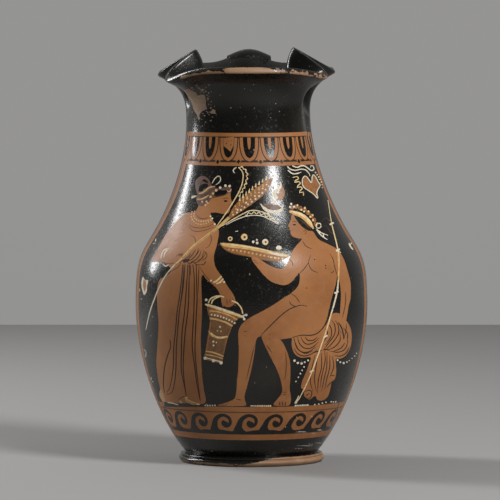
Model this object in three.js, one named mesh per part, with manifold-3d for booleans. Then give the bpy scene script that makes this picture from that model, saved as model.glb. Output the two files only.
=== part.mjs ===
// A trefoil-mouthed wine jug (oinochoe) of fired clay, thrown on a wheel, with its lip pinched
// in at both sides while soft and a ridged strap handle luted on at the back.
// Millimetres, +Z up. The origin is the centre of the resting ring under the foot, and the
// pouring lobe of the mouth faces -Y. Angles run round the jug from the front towards +X.
import * as THREE from 'three';
import { mergeVertices } from 'three/addons/utils/BufferGeometryUtils.js';
import Module from 'manifold-3d';

const degrees = Math.PI / 180;

// Driving sizes of the turned pot
const foot = { restRadius: 38.8, edgeRadius: 41.6, height: 5.6, ringWidth: 7.5, recess: 2.6 };
const stemRadius = 37.6; // where the body springs from the foot
const belly = { radius: 66.3, height: 90 };
const shoulder = { radius: 54.5, height: 132.4, slope: 30 * degrees };
const neck = { radius: 35.4, height: 196 };
const lip = { radius: 46.5, height: 220.1, slope: 27 * degrees };
const bodyWall = 4.6;
const lipThickness = 3.9;
const floorThickness = 6;
const neckLean = 2.8; // the dried neck leans this far towards -X at the lip

// Driving sizes of the pinched mouth
const sideFlare = 5.6; // how much wider the lip spreads at the sides than at the front
const pinch = { angle: 83 * degrees, spread: 10.5 * degrees, radius: 29.8, height: 233.0 };
const leftEarSag = { outward: 0.9, down: 1.2 }; // the left ear was pinched a little lower
const thumbHollow = {
  angle: 71 * degrees, front: 8.5 * degrees, back: 10 * degrees, station: 3.36, reach: 0.42, left: 0.9, right: 3.5,
};
const lobeDroop = { angle: 60 * degrees, spread: 19 * degrees, left: 4.9, right: 2.9 };
const backDroop = { angle: 104 * degrees, spread: 13 * degrees, left: 2.3, right: 0.5 };
const backRise = 3.6;
const saddle = { rise: 6, spread: 15 * degrees };

// Driving sizes of the strap handle
const handle = {
  width: 19, rootWidth: 25, outerRidge: 4.6, innerSwell: 2.7, aside: -1.5,
  crestWidth: 4.4, crestRidge: 2, crestShare: 0.13, crestReach: 0.12, // added where it arches over the lip
  aboveEars: 2.8, reach: 66, rootHeight: 141, tongue: 3.5, wrapRadius: 44,
};

// Fullness of the curves: how long each end of a curve keeps its direction
const stemPull = { radial: 13.9, upward: 16 };
const bellyPull = { down: 33.9, up: 26.7 };
const shoulderPull = { down: 16.7, up: 10.8 };
const neckPull = { down: 27, up: 17 };
const lipPull = 8;
const pinchPull = { up: 4, radial: 8, down: 13 };

// Fineness of the faceted skin
const roundSteps = 60;
const sideCrowding = 0.45; // gathers the facets towards the pinches
const stemSteps = 9;
const bellySteps = 5;
const neckSteps = 8;
const mouthSteps = 9;
const floorSteps = 4;
const handleSteps = 28;
const handleCrowding = 0.62; // brings the sections closer together where the handle arches over the lip
const lipWrapReach = 0.12; // how far along the handle its underside is still curved round the lip
const leastDetail = 0.01; // corners closer than this are one where the handle joins

const bell = (distance, spread) => Math.exp(-((distance / spread) ** 2));
const mix = (a, b, share) => a + (b - a) * share;
const smooth = (x) => {
  const t = Math.min(1, Math.max(0, x));
  return t * t * (3 - 2 * t);
};

// Cubic curve through four [radius, height] pairs
function bezier([a, b, c, d], t) {
  const u = 1 - t;
  const weight = [u * u * u, 3 * u * u * t, 3 * u * t * t, t * t * t];
  return [0, 1].map((i) => weight[0] * a[i] + weight[1] * b[i] + weight[2] * c[i] + weight[3] * d[i]);
}

const waist = [neck.radius, neck.height];
const breast = [shoulder.radius, shoulder.height];
const widest = [belly.radius, belly.height];
const inwards = [-Math.sin(shoulder.slope), Math.cos(shoulder.slope)];

const stemCurve = [
  [stemRadius, foot.height],
  [stemRadius + stemPull.radial, foot.height + stemPull.upward],
  [belly.radius, belly.height - bellyPull.down],
  widest,
];
const bellyCurve = [
  widest,
  [belly.radius, belly.height + bellyPull.up],
  breast.map((value, i) => value - shoulderPull.down * inwards[i]),
  breast,
];
const neckCurve = [
  breast,
  breast.map((value, i) => value + shoulderPull.up * inwards[i]),
  [neck.radius, neck.height - neckPull.down],
  waist,
];

// The share of the pinched fold and of the saddle under the handle, at one angle
const foldShare = (angle) => bell(Math.abs(angle) - pinch.angle, pinch.spread);
const saddleShare = (angle) => bell(Math.PI - Math.abs(angle), saddle.spread);

// The mouth's outer face at an angle, from the waist of the neck, 0, to the edge of the lip, 1
function mouthProfile(angle, t) {
  const radius = lip.radius + sideFlare * Math.sin(angle) ** 2;
  const height = lip.height
    - (angle < 0 ? lobeDroop.left : lobeDroop.right)
      * bell(Math.abs(angle) - lobeDroop.angle, lobeDroop.spread)
    - (angle < 0 ? backDroop.left : backDroop.right)
      * bell(Math.abs(angle) - backDroop.angle, backDroop.spread)
    + backRise * smooth((Math.abs(angle) - pinch.angle) / (Math.PI / 3))
    + saddle.rise * saddleShare(angle);
  const open = bezier([
    waist,
    [neck.radius, neck.height + neckPull.up],
    [radius - lipPull * Math.cos(lip.slope), height - lipPull * Math.sin(lip.slope)],
    [radius, height],
  ], t);
  const ear = angle < 0
    ? [pinch.radius + leftEarSag.outward, pinch.height - leftEarSag.down]
    : [pinch.radius, pinch.height];
  const folded = bezier([
    waist,
    [neck.radius, neck.height + pinchPull.up],
    [ear[0] - pinchPull.radial, ear[1] - pinchPull.down],
    ear,
  ], t);
  return open.map((value, i) => mix(value, folded[i], foldShare(angle)));
}

// How far the thumbs pressed the neck in below each ear, in front of the fold
function hollowAt(angle, station) {
  const past = Math.abs(angle) - thumbHollow.angle;
  return (angle < 0 ? thumbHollow.left : thumbHollow.right)
    * bell(past, past < 0 ? thumbHollow.front : thumbHollow.back)
    * bell(station - thumbHollow.station, thumbHollow.reach);
}

// The whole outer face: station 0 to 4 names stem, belly, neck and mouth curves in turn
function outerProfile(angle, station) {
  if (station <= 1) return bezier(stemCurve, station);
  if (station <= 2) return bezier(bellyCurve, station - 1);
  const [radius, height] = station <= 3
    ? bezier(neckCurve, station - 2)
    : mouthProfile(angle, station - 3);
  return [radius - hollowAt(angle, station), height];
}

function turned(angle, [radius, height]) {
  return new THREE.Vector3(radius * Math.sin(angle), -radius * Math.cos(angle), height);
}

const outerPoint = (angle, station) => turned(angle, outerProfile(angle, station));

function outwardNormal(angle, station) {
  const step = 1e-4;
  const low = Math.max(0, station - step);
  const high = Math.min(4, station + step);
  const round = outerPoint(angle + step, station).sub(outerPoint(angle - step, station));
  const up = outerPoint(angle, high).sub(outerPoint(angle, low));
  return round.cross(up).normalize();
}

const wallAt = (station) => mix(bodyWall, lipThickness, smooth(station - 3));

// A point inside the wall, at a share of the thickness inwards from the outer face
function wallPoint(angle, station, share = 1) {
  const inward = outwardNormal(angle, station).multiplyScalar(-wallAt(station) * share);
  return outerPoint(angle, station).add(inward);
}

// The leaning neck: everything above the belly shifts sideways, more and more towards the lip
function lean(point) {
  const share = Math.max(0, (point.z - belly.height) / (lip.height - belly.height));
  point.x -= neckLean * share * share;
  return point;
}

// Closes rings of equal length into one skin, from a pole at one end to a pole at the other
function skin(firstPole, rings, lastPole) {
  const count = rings[0].length;
  const points = [firstPole, ...rings.flat(), lastPole];
  const at = (ring, i) => 1 + ring * count + (i % count);
  const faces = [];
  for (let i = 0; i < count; i += 1) {
    faces.push(0, at(0, i + 1), at(0, i));
    for (let ring = 0; ring + 1 < rings.length; ring += 1) {
      const [a, b, c, d] = [at(ring, i), at(ring, i + 1), at(ring + 1, i + 1), at(ring + 1, i)];
      faces.push(a, b, c, a, c, d);
    }
    faces.push(points.length - 1, at(rings.length - 1, i), at(rings.length - 1, i + 1));
  }
  const geometry = new THREE.BufferGeometry().setFromPoints(points);
  geometry.setIndex(faces);
  return geometry;
}

const angles = Array.from({ length: roundSteps }, (_, i) => {
  const even = (2 * Math.PI * (i + 0.5)) / roundSteps - Math.PI;
  return even + (sideCrowding / 2) * Math.sin(2 * even);
});
const ringOf = (pointAt) => angles.map((angle) => lean(pointAt(angle)));
const span = (from, to, steps) =>
  Array.from({ length: steps }, (_, i) => from + ((to - from) * (i + 1)) / steps);

function vesselGeometry() {
  const ringInner = foot.restRadius - foot.ringWidth;
  // The turned foot: recess under the floor, flat resting ring, rounded edge and a raised fillet
  const footProfile = [
    [ringInner - foot.recess, foot.recess],
    [ringInner, 0],
    [foot.restRadius, 0],
    [mix(foot.restRadius, foot.edgeRadius, 0.8), foot.height * 0.16],
    [foot.edgeRadius, foot.height * 0.4],
    [mix(foot.restRadius, foot.edgeRadius, 0.86), foot.height * 0.72],
    [mix(stemRadius, foot.edgeRadius, 0.5), foot.height * 0.9],
    [mix(stemRadius, foot.edgeRadius, 0.16), foot.height * 0.94],
  ];
  const stations = [
    0, ...span(0, 1, stemSteps), ...span(1, 2, bellySteps), ...span(2, 3, neckSteps), ...span(3, 4, mouthSteps),
  ];
  const outside = stations.map((station) => ringOf((angle) => outerPoint(angle, station)));
  const lipCrown = ringOf((angle) => {
    const edge = outerPoint(angle, 4);
    const along = edge.clone().sub(outerPoint(angle, 4 - 1e-3)).normalize();
    return wallPoint(angle, 4, 0.5).addScaledVector(along, lipThickness * 0.22);
  });
  // The inner face follows the outer one down to where the floor's curve begins
  const floorHeight = foot.recess + floorThickness;
  const floorStation = 0.22;
  const inside = stations.filter((station) => station >= floorStation).reverse()
    .map((station) => ringOf((angle) => wallPoint(angle, station)));
  const lowest = inside.at(-1)[0];
  const lowestRadius = Math.hypot(lowest.x, lowest.y);
  const floorCurve = [
    [lowestRadius, lowest.z],
    [mix(lowestRadius, ringInner, 0.8), floorHeight + (lowest.z - floorHeight) * 0.1],
    [ringInner * 0.6, floorHeight],
    [0, floorHeight],
  ];
  const floor = span(0, 1, floorSteps).slice(0, -1)
    .map((t) => ringOf((angle) => turned(angle, bezier(floorCurve, t))));
  const rings = [
    ...footProfile.map((pair) => ringOf((angle) => turned(angle, pair))),
    ...outside, lipCrown, ...inside, ...floor,
  ];
  return skin(new THREE.Vector3(0, 0, foot.recess), rings, new THREE.Vector3(0, 0, floorHeight));
}

// The station whose outer face is at a height on the turned part above the belly
function stationAt(height) {
  let [low, high] = [1, 3];
  while (high - low > 1e-5) {
    const middle = (low + high) / 2;
    if (outerProfile(Math.PI, middle)[1] < height) low = middle;
    else high = middle;
  }
  return (low + high) / 2;
}

// The strap: ridged outside, gently swelling towards the fingers, widest where it is luted on and
// thinned to a tongue at both ends, inside the wall
function handleGeometry() {
  const sectionSteps = 16;
  const rootStation = stationAt(handle.rootHeight);
  const crown = wallPoint(Math.PI, 4, 0.5);
  const crestHeight = pinch.height + handle.aboveEars - handle.outerRidge - handle.crestRidge;
  const gripHeight = mix(handle.rootHeight, crestHeight, 0.5);
  const backMost = handle.reach - handle.outerRidge;
  const root = outerPoint(Math.PI, rootStation);
  const path = new THREE.CatmullRomCurve3([
    wallPoint(Math.PI, 3.72, 0.5),
    crown,
    new THREE.Vector3(0, mix(crown.y, backMost, 0.36), crestHeight),
    new THREE.Vector3(0, mix(crown.y, backMost, 0.86), mix(gripHeight, crestHeight, 0.74)),
    new THREE.Vector3(0, backMost, gripHeight + 8),
    new THREE.Vector3(0, mix(root.y, backMost, 0.66), mix(handle.rootHeight, gripHeight, 0.42)),
    root,
    wallPoint(Math.PI, stationAt(handle.rootHeight - handle.tongue), 0.6),
  ], false, 'centripetal');
  const across = new THREE.Vector3(1, 0, 0);
  const rings = [];
  for (let step = 0; step <= handleSteps; step += 1) {
    const even = step / handleSteps;
    const t = even * mix(handleCrowding, 1, even);
    const centre = path.getPointAt(t).setX(handle.aside);
    const outward = new THREE.Vector3().crossVectors(path.getTangentAt(t), across).negate();
    const [nearLip, nearShoulder] = [smooth(1 - t / 0.25), smooth((t - 0.75) / 0.25)];
    const lipWrap = smooth(1 - t / lipWrapReach);
    const tongue = smooth(t / 0.16) * smooth((1 - t) / 0.08);
    const crest = bell(t - handle.crestShare, handle.crestReach);
    const width = mix(handle.width, handle.rootWidth, nearLip + nearShoulder) + handle.crestWidth * crest;
    const ridge = handle.outerRidge + handle.crestRidge * crest;
    rings.push(Array.from({ length: sectionSteps }, (_, i) => {
      const turn = (-2 * Math.PI * i) / sectionSteps;
      const side = Math.sin(turn);
      const swell = side > 0 ? ridge * side ** 2.4 : -handle.innerSwell * side ** 2;
      const aside = width * mix(0.34, 0.5, Math.sqrt(tongue)) * Math.cos(turn);
      const wrap = ((lipWrap - nearShoulder) * aside ** 2) / (2 * handle.wrapRadius);
      return centre.clone()
        .addScaledVector(across, aside)
        .addScaledVector(outward, swell * mix(0.25, 1, tongue) + wrap);
    }));
  }
  const capCentre = (ring) => ring[0].clone().add(ring[sectionSteps / 2]).multiplyScalar(0.5);
  return skin(capCentre(rings[0]), rings, capCentre(rings.at(-1)));
}

const wasm = await Module();
wasm.setup();

function solid(geometry) {
  const merged = mergeVertices(geometry, leastDetail);
  const corners = Array.from(merged.index.array);
  const kept = [];
  for (let i = 0; i < corners.length; i += 3) {
    const face = corners.slice(i, i + 3);
    if (new Set(face).size === 3) kept.push(...face);
  }
  return new wasm.Manifold(new wasm.Mesh({
    numProp: 3,
    vertProperties: new Float32Array(merged.attributes.position.array),
    triVerts: new Uint32Array(kept),
  }));
}

function geometryOf(manifold) {
  const mesh = manifold.getMesh();
  const geometry = new THREE.BufferGeometry();
  geometry.setAttribute('position', new THREE.Float32BufferAttribute(mesh.vertProperties, 3));
  geometry.setIndex(Array.from(mesh.triVerts));
  return geometry;
}

const blackGloss = new THREE.MeshStandardMaterial({ color: 0x1c1b17, roughness: 0.3, metalness: 0 });

const luted = solid(vesselGeometry()).add(solid(handleGeometry()));
const jug = new THREE.Mesh(geometryOf(solid(geometryOf(luted))), blackGloss);
jug.name = 'oinochoe';

const group = new THREE.Group();
group.add(jug);

export default group;
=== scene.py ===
import math

import bpy
import numpy as np
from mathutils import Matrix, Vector
from mathutils.geometry import delaunay_2d_cdt


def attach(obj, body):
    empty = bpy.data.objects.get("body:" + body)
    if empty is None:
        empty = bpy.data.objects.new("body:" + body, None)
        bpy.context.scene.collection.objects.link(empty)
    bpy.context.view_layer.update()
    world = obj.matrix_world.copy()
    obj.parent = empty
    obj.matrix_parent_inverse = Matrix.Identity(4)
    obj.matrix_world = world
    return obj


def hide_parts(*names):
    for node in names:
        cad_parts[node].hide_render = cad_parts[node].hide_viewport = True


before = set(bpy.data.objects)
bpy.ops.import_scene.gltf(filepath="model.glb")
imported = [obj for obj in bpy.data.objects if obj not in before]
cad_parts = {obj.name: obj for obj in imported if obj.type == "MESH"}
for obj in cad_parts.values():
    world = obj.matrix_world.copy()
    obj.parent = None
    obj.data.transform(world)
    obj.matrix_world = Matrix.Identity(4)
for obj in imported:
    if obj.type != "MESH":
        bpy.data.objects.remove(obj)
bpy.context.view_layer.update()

# The wall: one piece of orange clay, thrown on the wheel with its foot, belly and neck, then
# pinched in at both sides of the lip while soft, which pushes the rim up into two ears.
# Millimetres here; angles run round the jug from the front towards +X.
degrees = math.pi / 180
rest_radius, foot_radius, foot_height, ring_width, foot_recess = 38.8, 41.6, 5.6, 7.5, 2.6
stem_radius = 37.6
belly_radius, belly_height = 66.1, 90
breast = (54.5, 132.4)
breast_slope = 30 * degrees
waist = (35.4, 196)
lip_radius, lip_height, lip_slope = 46.5, 220.1, 27 * degrees
body_wall, lip_wall, floor_thickness = 4.6, 3.9, 6
neck_lean = 2.8
millimetre = 0.001
side_flare = 5.6
pinch_angle, pinch_spread, pinch_radius, pinch_height = 83 * degrees, 10.5 * degrees, 29.8, 232.85
ear_outward, ear_down = 0.9, 1.2  # the left ear was pinched a little lower
hollow_angle, hollow_front, hollow_back = 71 * degrees, 8.5 * degrees, 10 * degrees
hollow_station, hollow_reach = 3.36, 0.42
hollow_left, hollow_right = 0.9, 3.5
droop_angle, droop_spread, droop_left, droop_right = 60 * degrees, 19 * degrees, 4.9, 2.9
sink_angle, sink_spread, sink_left, sink_right = 104 * degrees, 13 * degrees, 2.3, 0.5
back_rise, saddle_rise, saddle_spread = 3.6, 6, 15 * degrees


def mix(a, b, share):
    return a + (b - a) * share


def smooth(x):
    t = np.clip(x, 0, 1)
    return t * t * (3 - 2 * t)


def bell(distance, spread):
    return np.exp(-((distance / spread) ** 2))


def bezier(corners, t):
    """Radius and height along a cubic curve; each corner is a pair of numbers or arrays."""
    u = 1 - t
    weights = (u**3, 3 * u * u * t, 3 * u * t * t, t**3)
    return [sum(w * c[i] for w, c in zip(weights, corners)) for i in (0, 1)]


inwards = (-math.sin(breast_slope), math.cos(breast_slope))
stem_curve = ((stem_radius, foot_height), (stem_radius + 13.9, foot_height + 16),
              (belly_radius, belly_height - 33.9), (belly_radius, belly_height))
belly_curve = ((belly_radius, belly_height), (belly_radius, belly_height + 26.7),
               (breast[0] - 16.7 * inwards[0], breast[1] - 16.7 * inwards[1]), breast)
neck_curve = (breast, (breast[0] + 10.8 * inwards[0], breast[1] + 10.8 * inwards[1]),
              (waist[0], waist[1] - 27), waist)


def mouth_profile(angle, t):
    """From the waist of the neck, 0, to the edge of the lip, 1."""
    side = np.abs(angle)
    radius = lip_radius + side_flare * np.sin(angle) ** 2
    droop, sink = bell(side - droop_angle, droop_spread), bell(side - sink_angle, sink_spread)
    height = (lip_height
              - np.where(angle < 0, droop_left, droop_right) * droop
              - np.where(angle < 0, sink_left, sink_right) * sink
              + back_rise * smooth((side - pinch_angle) / (math.pi / 3))
              + saddle_rise * bell(math.pi - side, saddle_spread))
    opened = bezier((waist, (waist[0], waist[1] + 17),
                     (radius - 8 * math.cos(lip_slope), height - 8 * math.sin(lip_slope)),
                     (radius, height)), t)
    ear = (pinch_radius + np.where(angle < 0, ear_outward, 0),
           pinch_height - np.where(angle < 0, ear_down, 0))
    folded = bezier((waist, (waist[0], waist[1] + 4), (ear[0] - 8, ear[1] - 13), ear), t)
    fold = bell(side - pinch_angle, pinch_spread)
    return [mix(a, b, fold) for a, b in zip(opened, folded)]


def outer_profile(angle, station):
    """Radius and height of the outer face. Stations 0 to 4: stem, belly, shoulder, waist, lip."""
    angle, station = np.broadcast_arrays(np.asarray(angle, float), np.asarray(station, float))
    shares = [np.clip(station - first, 0, 1) for first in range(4)]
    parts = [bezier(stem_curve, shares[0]), bezier(belly_curve, shares[1]),
             bezier(neck_curve, shares[2]), mouth_profile(angle, shares[3])]
    which = np.clip(np.ceil(station).astype(int) - 1, 0, 3)
    radius, height = (np.choose(which, [part[i] for part in parts]) for i in (0, 1))
    past = np.abs(angle) - hollow_angle
    hollow = (np.where(angle < 0, hollow_left, hollow_right)
              * bell(past, np.where(past < 0, hollow_front, hollow_back))
              * bell(station - hollow_station, hollow_reach))
    return [radius - np.where(station > 2, hollow, 0), height]


def turned(angle, radius, height):
    return np.stack(np.broadcast_arrays(radius * np.sin(angle), -radius * np.cos(angle), height),
                    -1)


def outer_point(angle, station):
    return turned(angle, *outer_profile(angle, station))


def unit(v):
    return v / np.maximum(np.linalg.norm(v, axis=-1, keepdims=True), 1e-12)


def outward(point_at, angle, station, low=0, high=4):
    """Unit normal of a face that is given as a function of angle and station."""
    step = 1e-4
    across = point_at(angle + step, station) - point_at(angle - step, station)
    above, below = np.minimum(station + step, high), np.maximum(station - step, low)
    up = point_at(angle, above) - point_at(angle, below)
    return unit(np.cross(across, up))


def wall_point(angle, station, share=1.0):
    """A point inside the wall, at a share of its thickness inwards from the outer face."""
    station = np.asarray(station, float)
    thickness = mix(body_wall, lip_wall, smooth(station - 3)) * share
    return outer_point(angle, station) - outward(outer_point, angle, station) * thickness[..., None]


def lean(points):
    """The dried neck leans a little towards -X, more and more above the belly."""
    rise = np.maximum(0, (points[..., 2] - belly_height) / (lip_height - belly_height))
    points = np.array(points, float)
    points[..., 0] -= neck_lean * rise**2
    return points


# The slip and the clay: a thin black gloss over polished orange clay. Where the gloss is left off
# the clay shows, and both are a little uneven, pitted and worn.
def node(tree, kind, inputs=None, family="ShaderNode", **settings):
    """A node with its settings; an input takes a value or the output that feeds it."""
    made = tree.nodes.new(family + kind)
    for key, value in settings.items():
        setattr(made, key, value)
    for key, value in (inputs or {}).items():
        if isinstance(value, bpy.types.NodeSocket):
            tree.links.new(value, made.inputs[key])
        else:
            made.inputs[key].default_value = value
    return made


def blend_colour(tree, share, a, b):
    made = tree.nodes.new("ShaderNodeMix")
    made.data_type = "RGBA"
    for socket, value in ((made.inputs[0], share), (made.inputs[6], a), (made.inputs[7], b)):
        if isinstance(value, bpy.types.NodeSocket):
            tree.links.new(value, socket)
        else:
            socket.default_value = (*value, 1) if isinstance(value, tuple) else value
    return made.outputs[2]


def span(tree, value, low, high, to_low=0.0, to_high=1.0):
    """Stretches the part of a value between low and high to new limits, with soft ends."""
    return node(tree, "MapRange", {"Value": value, "From Min": low, "From Max": high,
                                   "To Min": to_low, "To Max": to_high},
                interpolation_type="SMOOTHSTEP").outputs["Result"]


def noise(tree, where, scale, detail=3.0, roughness=0.55):
    return node(tree, "TexNoise", {"Vector": where, "Scale": scale, "Detail": detail,
                                   "Roughness": roughness}).outputs["Fac"]


clay_light, clay_dark = (0.42, 0.178, 0.062), (0.30, 0.118, 0.04)


def clay_colour(tree, where):
    broad = span(tree, noise(tree, where, 22, 4), 0.35, 0.68)
    fine = span(tree, noise(tree, where, 240, 3), 0.42, 0.75)
    body = blend_colour(tree, broad, clay_light, clay_dark)
    return blend_colour(tree, fine, body, (0.36, 0.155, 0.062))


def surface(name, rough, pit, specular=0.5):
    """A material with its shader, its place on the jug, and a fine pitted skin."""
    made = bpy.data.materials.new(name)
    made.use_nodes = True
    tree = made.node_tree
    shader = tree.nodes["Principled BSDF"]
    where = node(tree, "TexCoord").outputs["Object"]
    grain = noise(tree, where, 1150, 2, 0.6)
    swell = noise(tree, where, 140, 3, 0.5)
    first = node(tree, "Bump", {"Height": swell, "Strength": 0.10, "Distance": 0.0006})
    skin = node(tree, "Bump", {"Height": grain, "Strength": pit, "Distance": 0.00025,
                               "Normal": first.outputs["Normal"]})
    tree.links.new(skin.outputs["Normal"], shader.inputs["Normal"])
    rub = span(tree, noise(tree, where, 65, 4, 0.6), 0.3, 0.75, rough * 0.82, rough * 1.3)
    tree.links.new(rub, shader.inputs["Roughness"])
    shader.inputs["Specular IOR Level"].default_value = specular
    return made, tree, shader, where


gloss, tree, shader, where = surface("black gloss", 0.2, 0.22)
thin = span(tree, noise(tree, where, 30, 5, 0.6), 0.5, 0.8)
deep = blend_colour(tree, thin, (0.0075, 0.0072, 0.0058), (0.019, 0.016, 0.0105))
tired = node(tree, "Attribute", attribute_name="wear").outputs["Fac"]
ragged = node(tree, "Math", {0: tired, 1: noise(tree, where, 190, 6, 0.72)},
              operation="ADD").outputs[0]
lost = span(tree, ragged, 1.0, 1.05)
bare = blend_colour(tree, span(tree, noise(tree, where, 60, 4), 0.4, 0.6), (0.36, 0.215, 0.12),
                    (0.28, 0.15, 0.078))
specks = span(tree, noise(tree, where, 420, 2, 0.5), 0.735, 0.755)
chipped = blend_colour(tree, specks, deep, (0.26, 0.21, 0.15))
tree.links.new(blend_colour(tree, lost, chipped, bare), shader.inputs["Base Color"])
rub = shader.inputs["Roughness"].links[0].from_socket
pocked = span(tree, noise(tree, where, 620, 3, 0.7), 0.58, 0.66, 0, 0.3)
dull = node(tree, "Math", {0: lost, 1: 0.3, 2: pocked}, operation="MULTIPLY_ADD").outputs[0]
tree.links.new(node(tree, "Math", {0: rub, 1: dull}, operation="ADD").outputs[0],
               shader.inputs["Roughness"])

clay, tree, shader, where = surface("reserved clay", 0.4, 0.35, 0.3)
tree.links.new(clay_colour(tree, where), shader.inputs["Base Color"])


def dry_paint(name, light, dark, rough=0.55, pit=0.35):
    """Slip laid on after the gloss: opaque, dull and a little thin in places."""
    made, tree, shader, where = surface(name, rough, pit, 0.3)
    patchy = span(tree, noise(tree, where, 520, 4, 0.65), 0.42, 0.66)
    tree.links.new(blend_colour(tree, patchy, light, dark), shader.inputs["Base Color"])
    return made


cream = dry_paint("white slip", (0.78, 0.71, 0.56), (0.60, 0.50, 0.34))
yellow = dry_paint("yellow slip", (0.66, 0.42, 0.16), (0.50, 0.28, 0.10))
pale = dry_paint("pale yellow slip", (0.80, 0.62, 0.34), (0.64, 0.44, 0.20))
peach = dry_paint("pink slip", (0.74, 0.45, 0.27), (0.55, 0.30, 0.16))
wash = dry_paint("thin brown wash", (0.33, 0.145, 0.05), (0.25, 0.10, 0.036), 0.4, 0.3)
umber = dry_paint("dark brown wash", (0.115, 0.052, 0.024), (0.07, 0.032, 0.017), 0.36, 0.3)
bared = dry_paint("bared clay", (0.37, 0.255, 0.175), (0.29, 0.185, 0.12), 0.5, 0.6)
brown = dry_paint("brown wash", (0.20, 0.098, 0.040), (0.135, 0.066, 0.029), 0.4, 0.3)
hair = dry_paint("mauve wash", (0.155, 0.088, 0.062), (0.10, 0.055, 0.04), 0.4, 0.3)
line = dry_paint("line slip", (0.020, 0.011, 0.008), (0.042, 0.020, 0.012), 0.55, 0.3)
worn = dry_paint("worn clay", (0.56, 0.36, 0.20), (0.44, 0.24, 0.12), 0.6, 0.5)
scuffed = dry_paint("scuffed gloss", (0.46, 0.42, 0.37), (0.20, 0.175, 0.15), 0.5, 0.6)


# The painter's sheet: the picture is drawn flat, as the front of the jug is seen by an eye 2.05 m
# away and 0.2 m up, and is laid on the wall along the line of sight. One unit is 0.57 mm; x runs
# to the right and y down. Everything on it is colour only, so it takes no thickness.
sheet_unit, sheet_axis, sheet_base = 0.57, 251.5, 461
eye = (-0.86, -2052.0, 200.0)
stations_up = np.linspace(0, 4, 4001)
radii_up, heights_up = outer_profile(0, stations_up)
lengths_up = np.concatenate([[0], np.cumsum(np.hypot(np.diff(radii_up), np.diff(heights_up)))])
turn_unit = 60.0  # millimetres across for one radian on the flat pattern that is triangulated
side_limit = 0.995  # share of the radius beyond which a point stays at the jug's side
painted = []  # (paint, outline on the flat pattern), from the first coat to the last


def lay(points):
    """Sheet points to (turn, length) on the flat pattern of the wall."""
    sheet = np.asarray(points, float)
    x_flat = (sheet[:, 0] - sheet_axis) * sheet_unit
    z_flat = (sheet_base - sheet[:, 1]) * sheet_unit
    x, z = x_flat.copy(), z_flat.copy()
    for _ in range(12):  # the depth of the wall depends on the place, and the place on the depth
        radius = np.interp(z, heights_up, radii_up)
        aside = x + neck_lean * np.maximum(0, (z - belly_height) / (lip_height - belly_height)) ** 2
        depth = -np.sqrt(np.maximum(radius**2 - np.minimum(aside**2, (side_limit * radius)**2), 0))
        nearness = (depth - eye[1]) / -eye[1]
        x = eye[0] + (x_flat - eye[0]) * nearness
        z = eye[2] + (z_flat - eye[2]) * nearness
    turn = np.arctan2(np.clip(aside, -side_limit * radius, side_limit * radius), -depth)
    return np.stack([turn * turn_unit, np.interp(z, heights_up, lengths_up)], -1)


def belt(points):
    """(degrees round, millimetres up) to the flat pattern."""
    ring = np.asarray(points, float)
    lengths = np.interp(ring[:, 1], heights_up, lengths_up)
    return np.stack([ring[:, 0] * degrees * turn_unit, lengths], -1)


def coat(paint, outline):
    """Puts one outline of the flat pattern on, wound so that its inside lies to the left."""
    outline = np.asarray(outline, float)
    nxt = np.roll(outline, -1, axis=0)
    area = np.sum(outline[:, 0] * nxt[:, 1] - nxt[:, 0] * outline[:, 1])
    if abs(area) > 1e-3:
        painted.append((paint, outline if area > 0 else outline[::-1]))


def curve_through(points, closed=False, spacing=1.3):
    """A smooth curve through a few points, sampled about every `spacing` units."""
    p = np.asarray(points, float)
    if len(p) < 3:
        steps = max(1, int(np.linalg.norm(p[-1] - p[0]) / spacing))
        return p[0] + (p[-1] - p[0]) * np.linspace(0, 1, steps + 1)[:, None]
    if closed:
        full = np.vstack([p[-1], p, p[0], p[1]])
    else:
        full = np.vstack([2 * p[0] - p[1], p, 2 * p[-1] - p[-2]])
    out = []
    for a, b, c, d in zip(full, full[1:], full[2:], full[3:]):
        steps = max(1, int(round(np.linalg.norm(c - b) / spacing)))
        t = np.arange(steps)[:, None] / steps
        out.append(0.5 * (2 * b + (c - a) * t + (2 * a - 5 * b + 4 * c - d) * t**2
                          + (3 * b - a - 3 * c + d) * t**3))
    out = np.vstack(out)
    return out if closed else np.vstack([out, p[-1]])


def fill(paint, points, onto=lay):
    """A coat inside a smooth closed curve."""
    coat(paint, onto(curve_through(points, closed=True)))


def flat_fill(paint, points, onto=lay):
    """A coat inside a straight-sided outline, cut up so that its long sides follow the wall."""
    p = np.asarray(points, float)
    coat(paint, onto(np.vstack([curve_through([a, b], spacing=2.0)[:-1] for a,
                                b in zip(p, np.roll(p, -1, axis=0))])))


def ribbon(path, widths):
    """The four-cornered pieces of a stroke along a path."""
    ahead = unit(np.gradient(path, axis=0))
    aside = np.stack([-ahead[:, 1], ahead[:, 0]], -1) * (widths / 2)[:, None]
    left, right = path + aside, path - aside
    # where the turn is tighter than the brush is wide, the inner side stands still
    for side in (left, right):
        for i in range(len(path) - 1):
            if np.dot(side[i + 1] - side[i], path[i + 1] - path[i]) <= 0:
                side[i + 1] = side[i]
    return [np.array([left[i], right[i], right[i + 1], left[i + 1]]) for i in range(len(path) - 1)]


def stroke(paint, points, width, start=1.0, end=1.0, onto=lay, spacing=1.5):
    """A brush stroke; start and end are the shares of the width left at its two ends."""
    path = curve_through(points, spacing=spacing)
    t = np.linspace(0, 1, len(path))
    taper = np.where(t < 0.5, mix(start, 1, smooth(t * 4)), mix(end, 1, smooth((1 - t) * 4)))
    for piece in ribbon(path, width * taper):
        coat(paint, onto(piece))


def strokes(paint, width, *paths, start=0.5, end=0.5):
    for path in paths:
        stroke(paint, path, width, start, end)


def disc(x, y, radius, squash=1.0, sides=9):
    turns = np.arange(sides) * 2 * math.pi / sides
    return np.stack([x + radius * np.cos(turns), y + radius * squash * np.sin(turns)], -1)


def dots(paint, radius, *places, onto=lay):
    for x, y in places:
        coat(paint, onto(disc(x, y, radius)))


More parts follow.
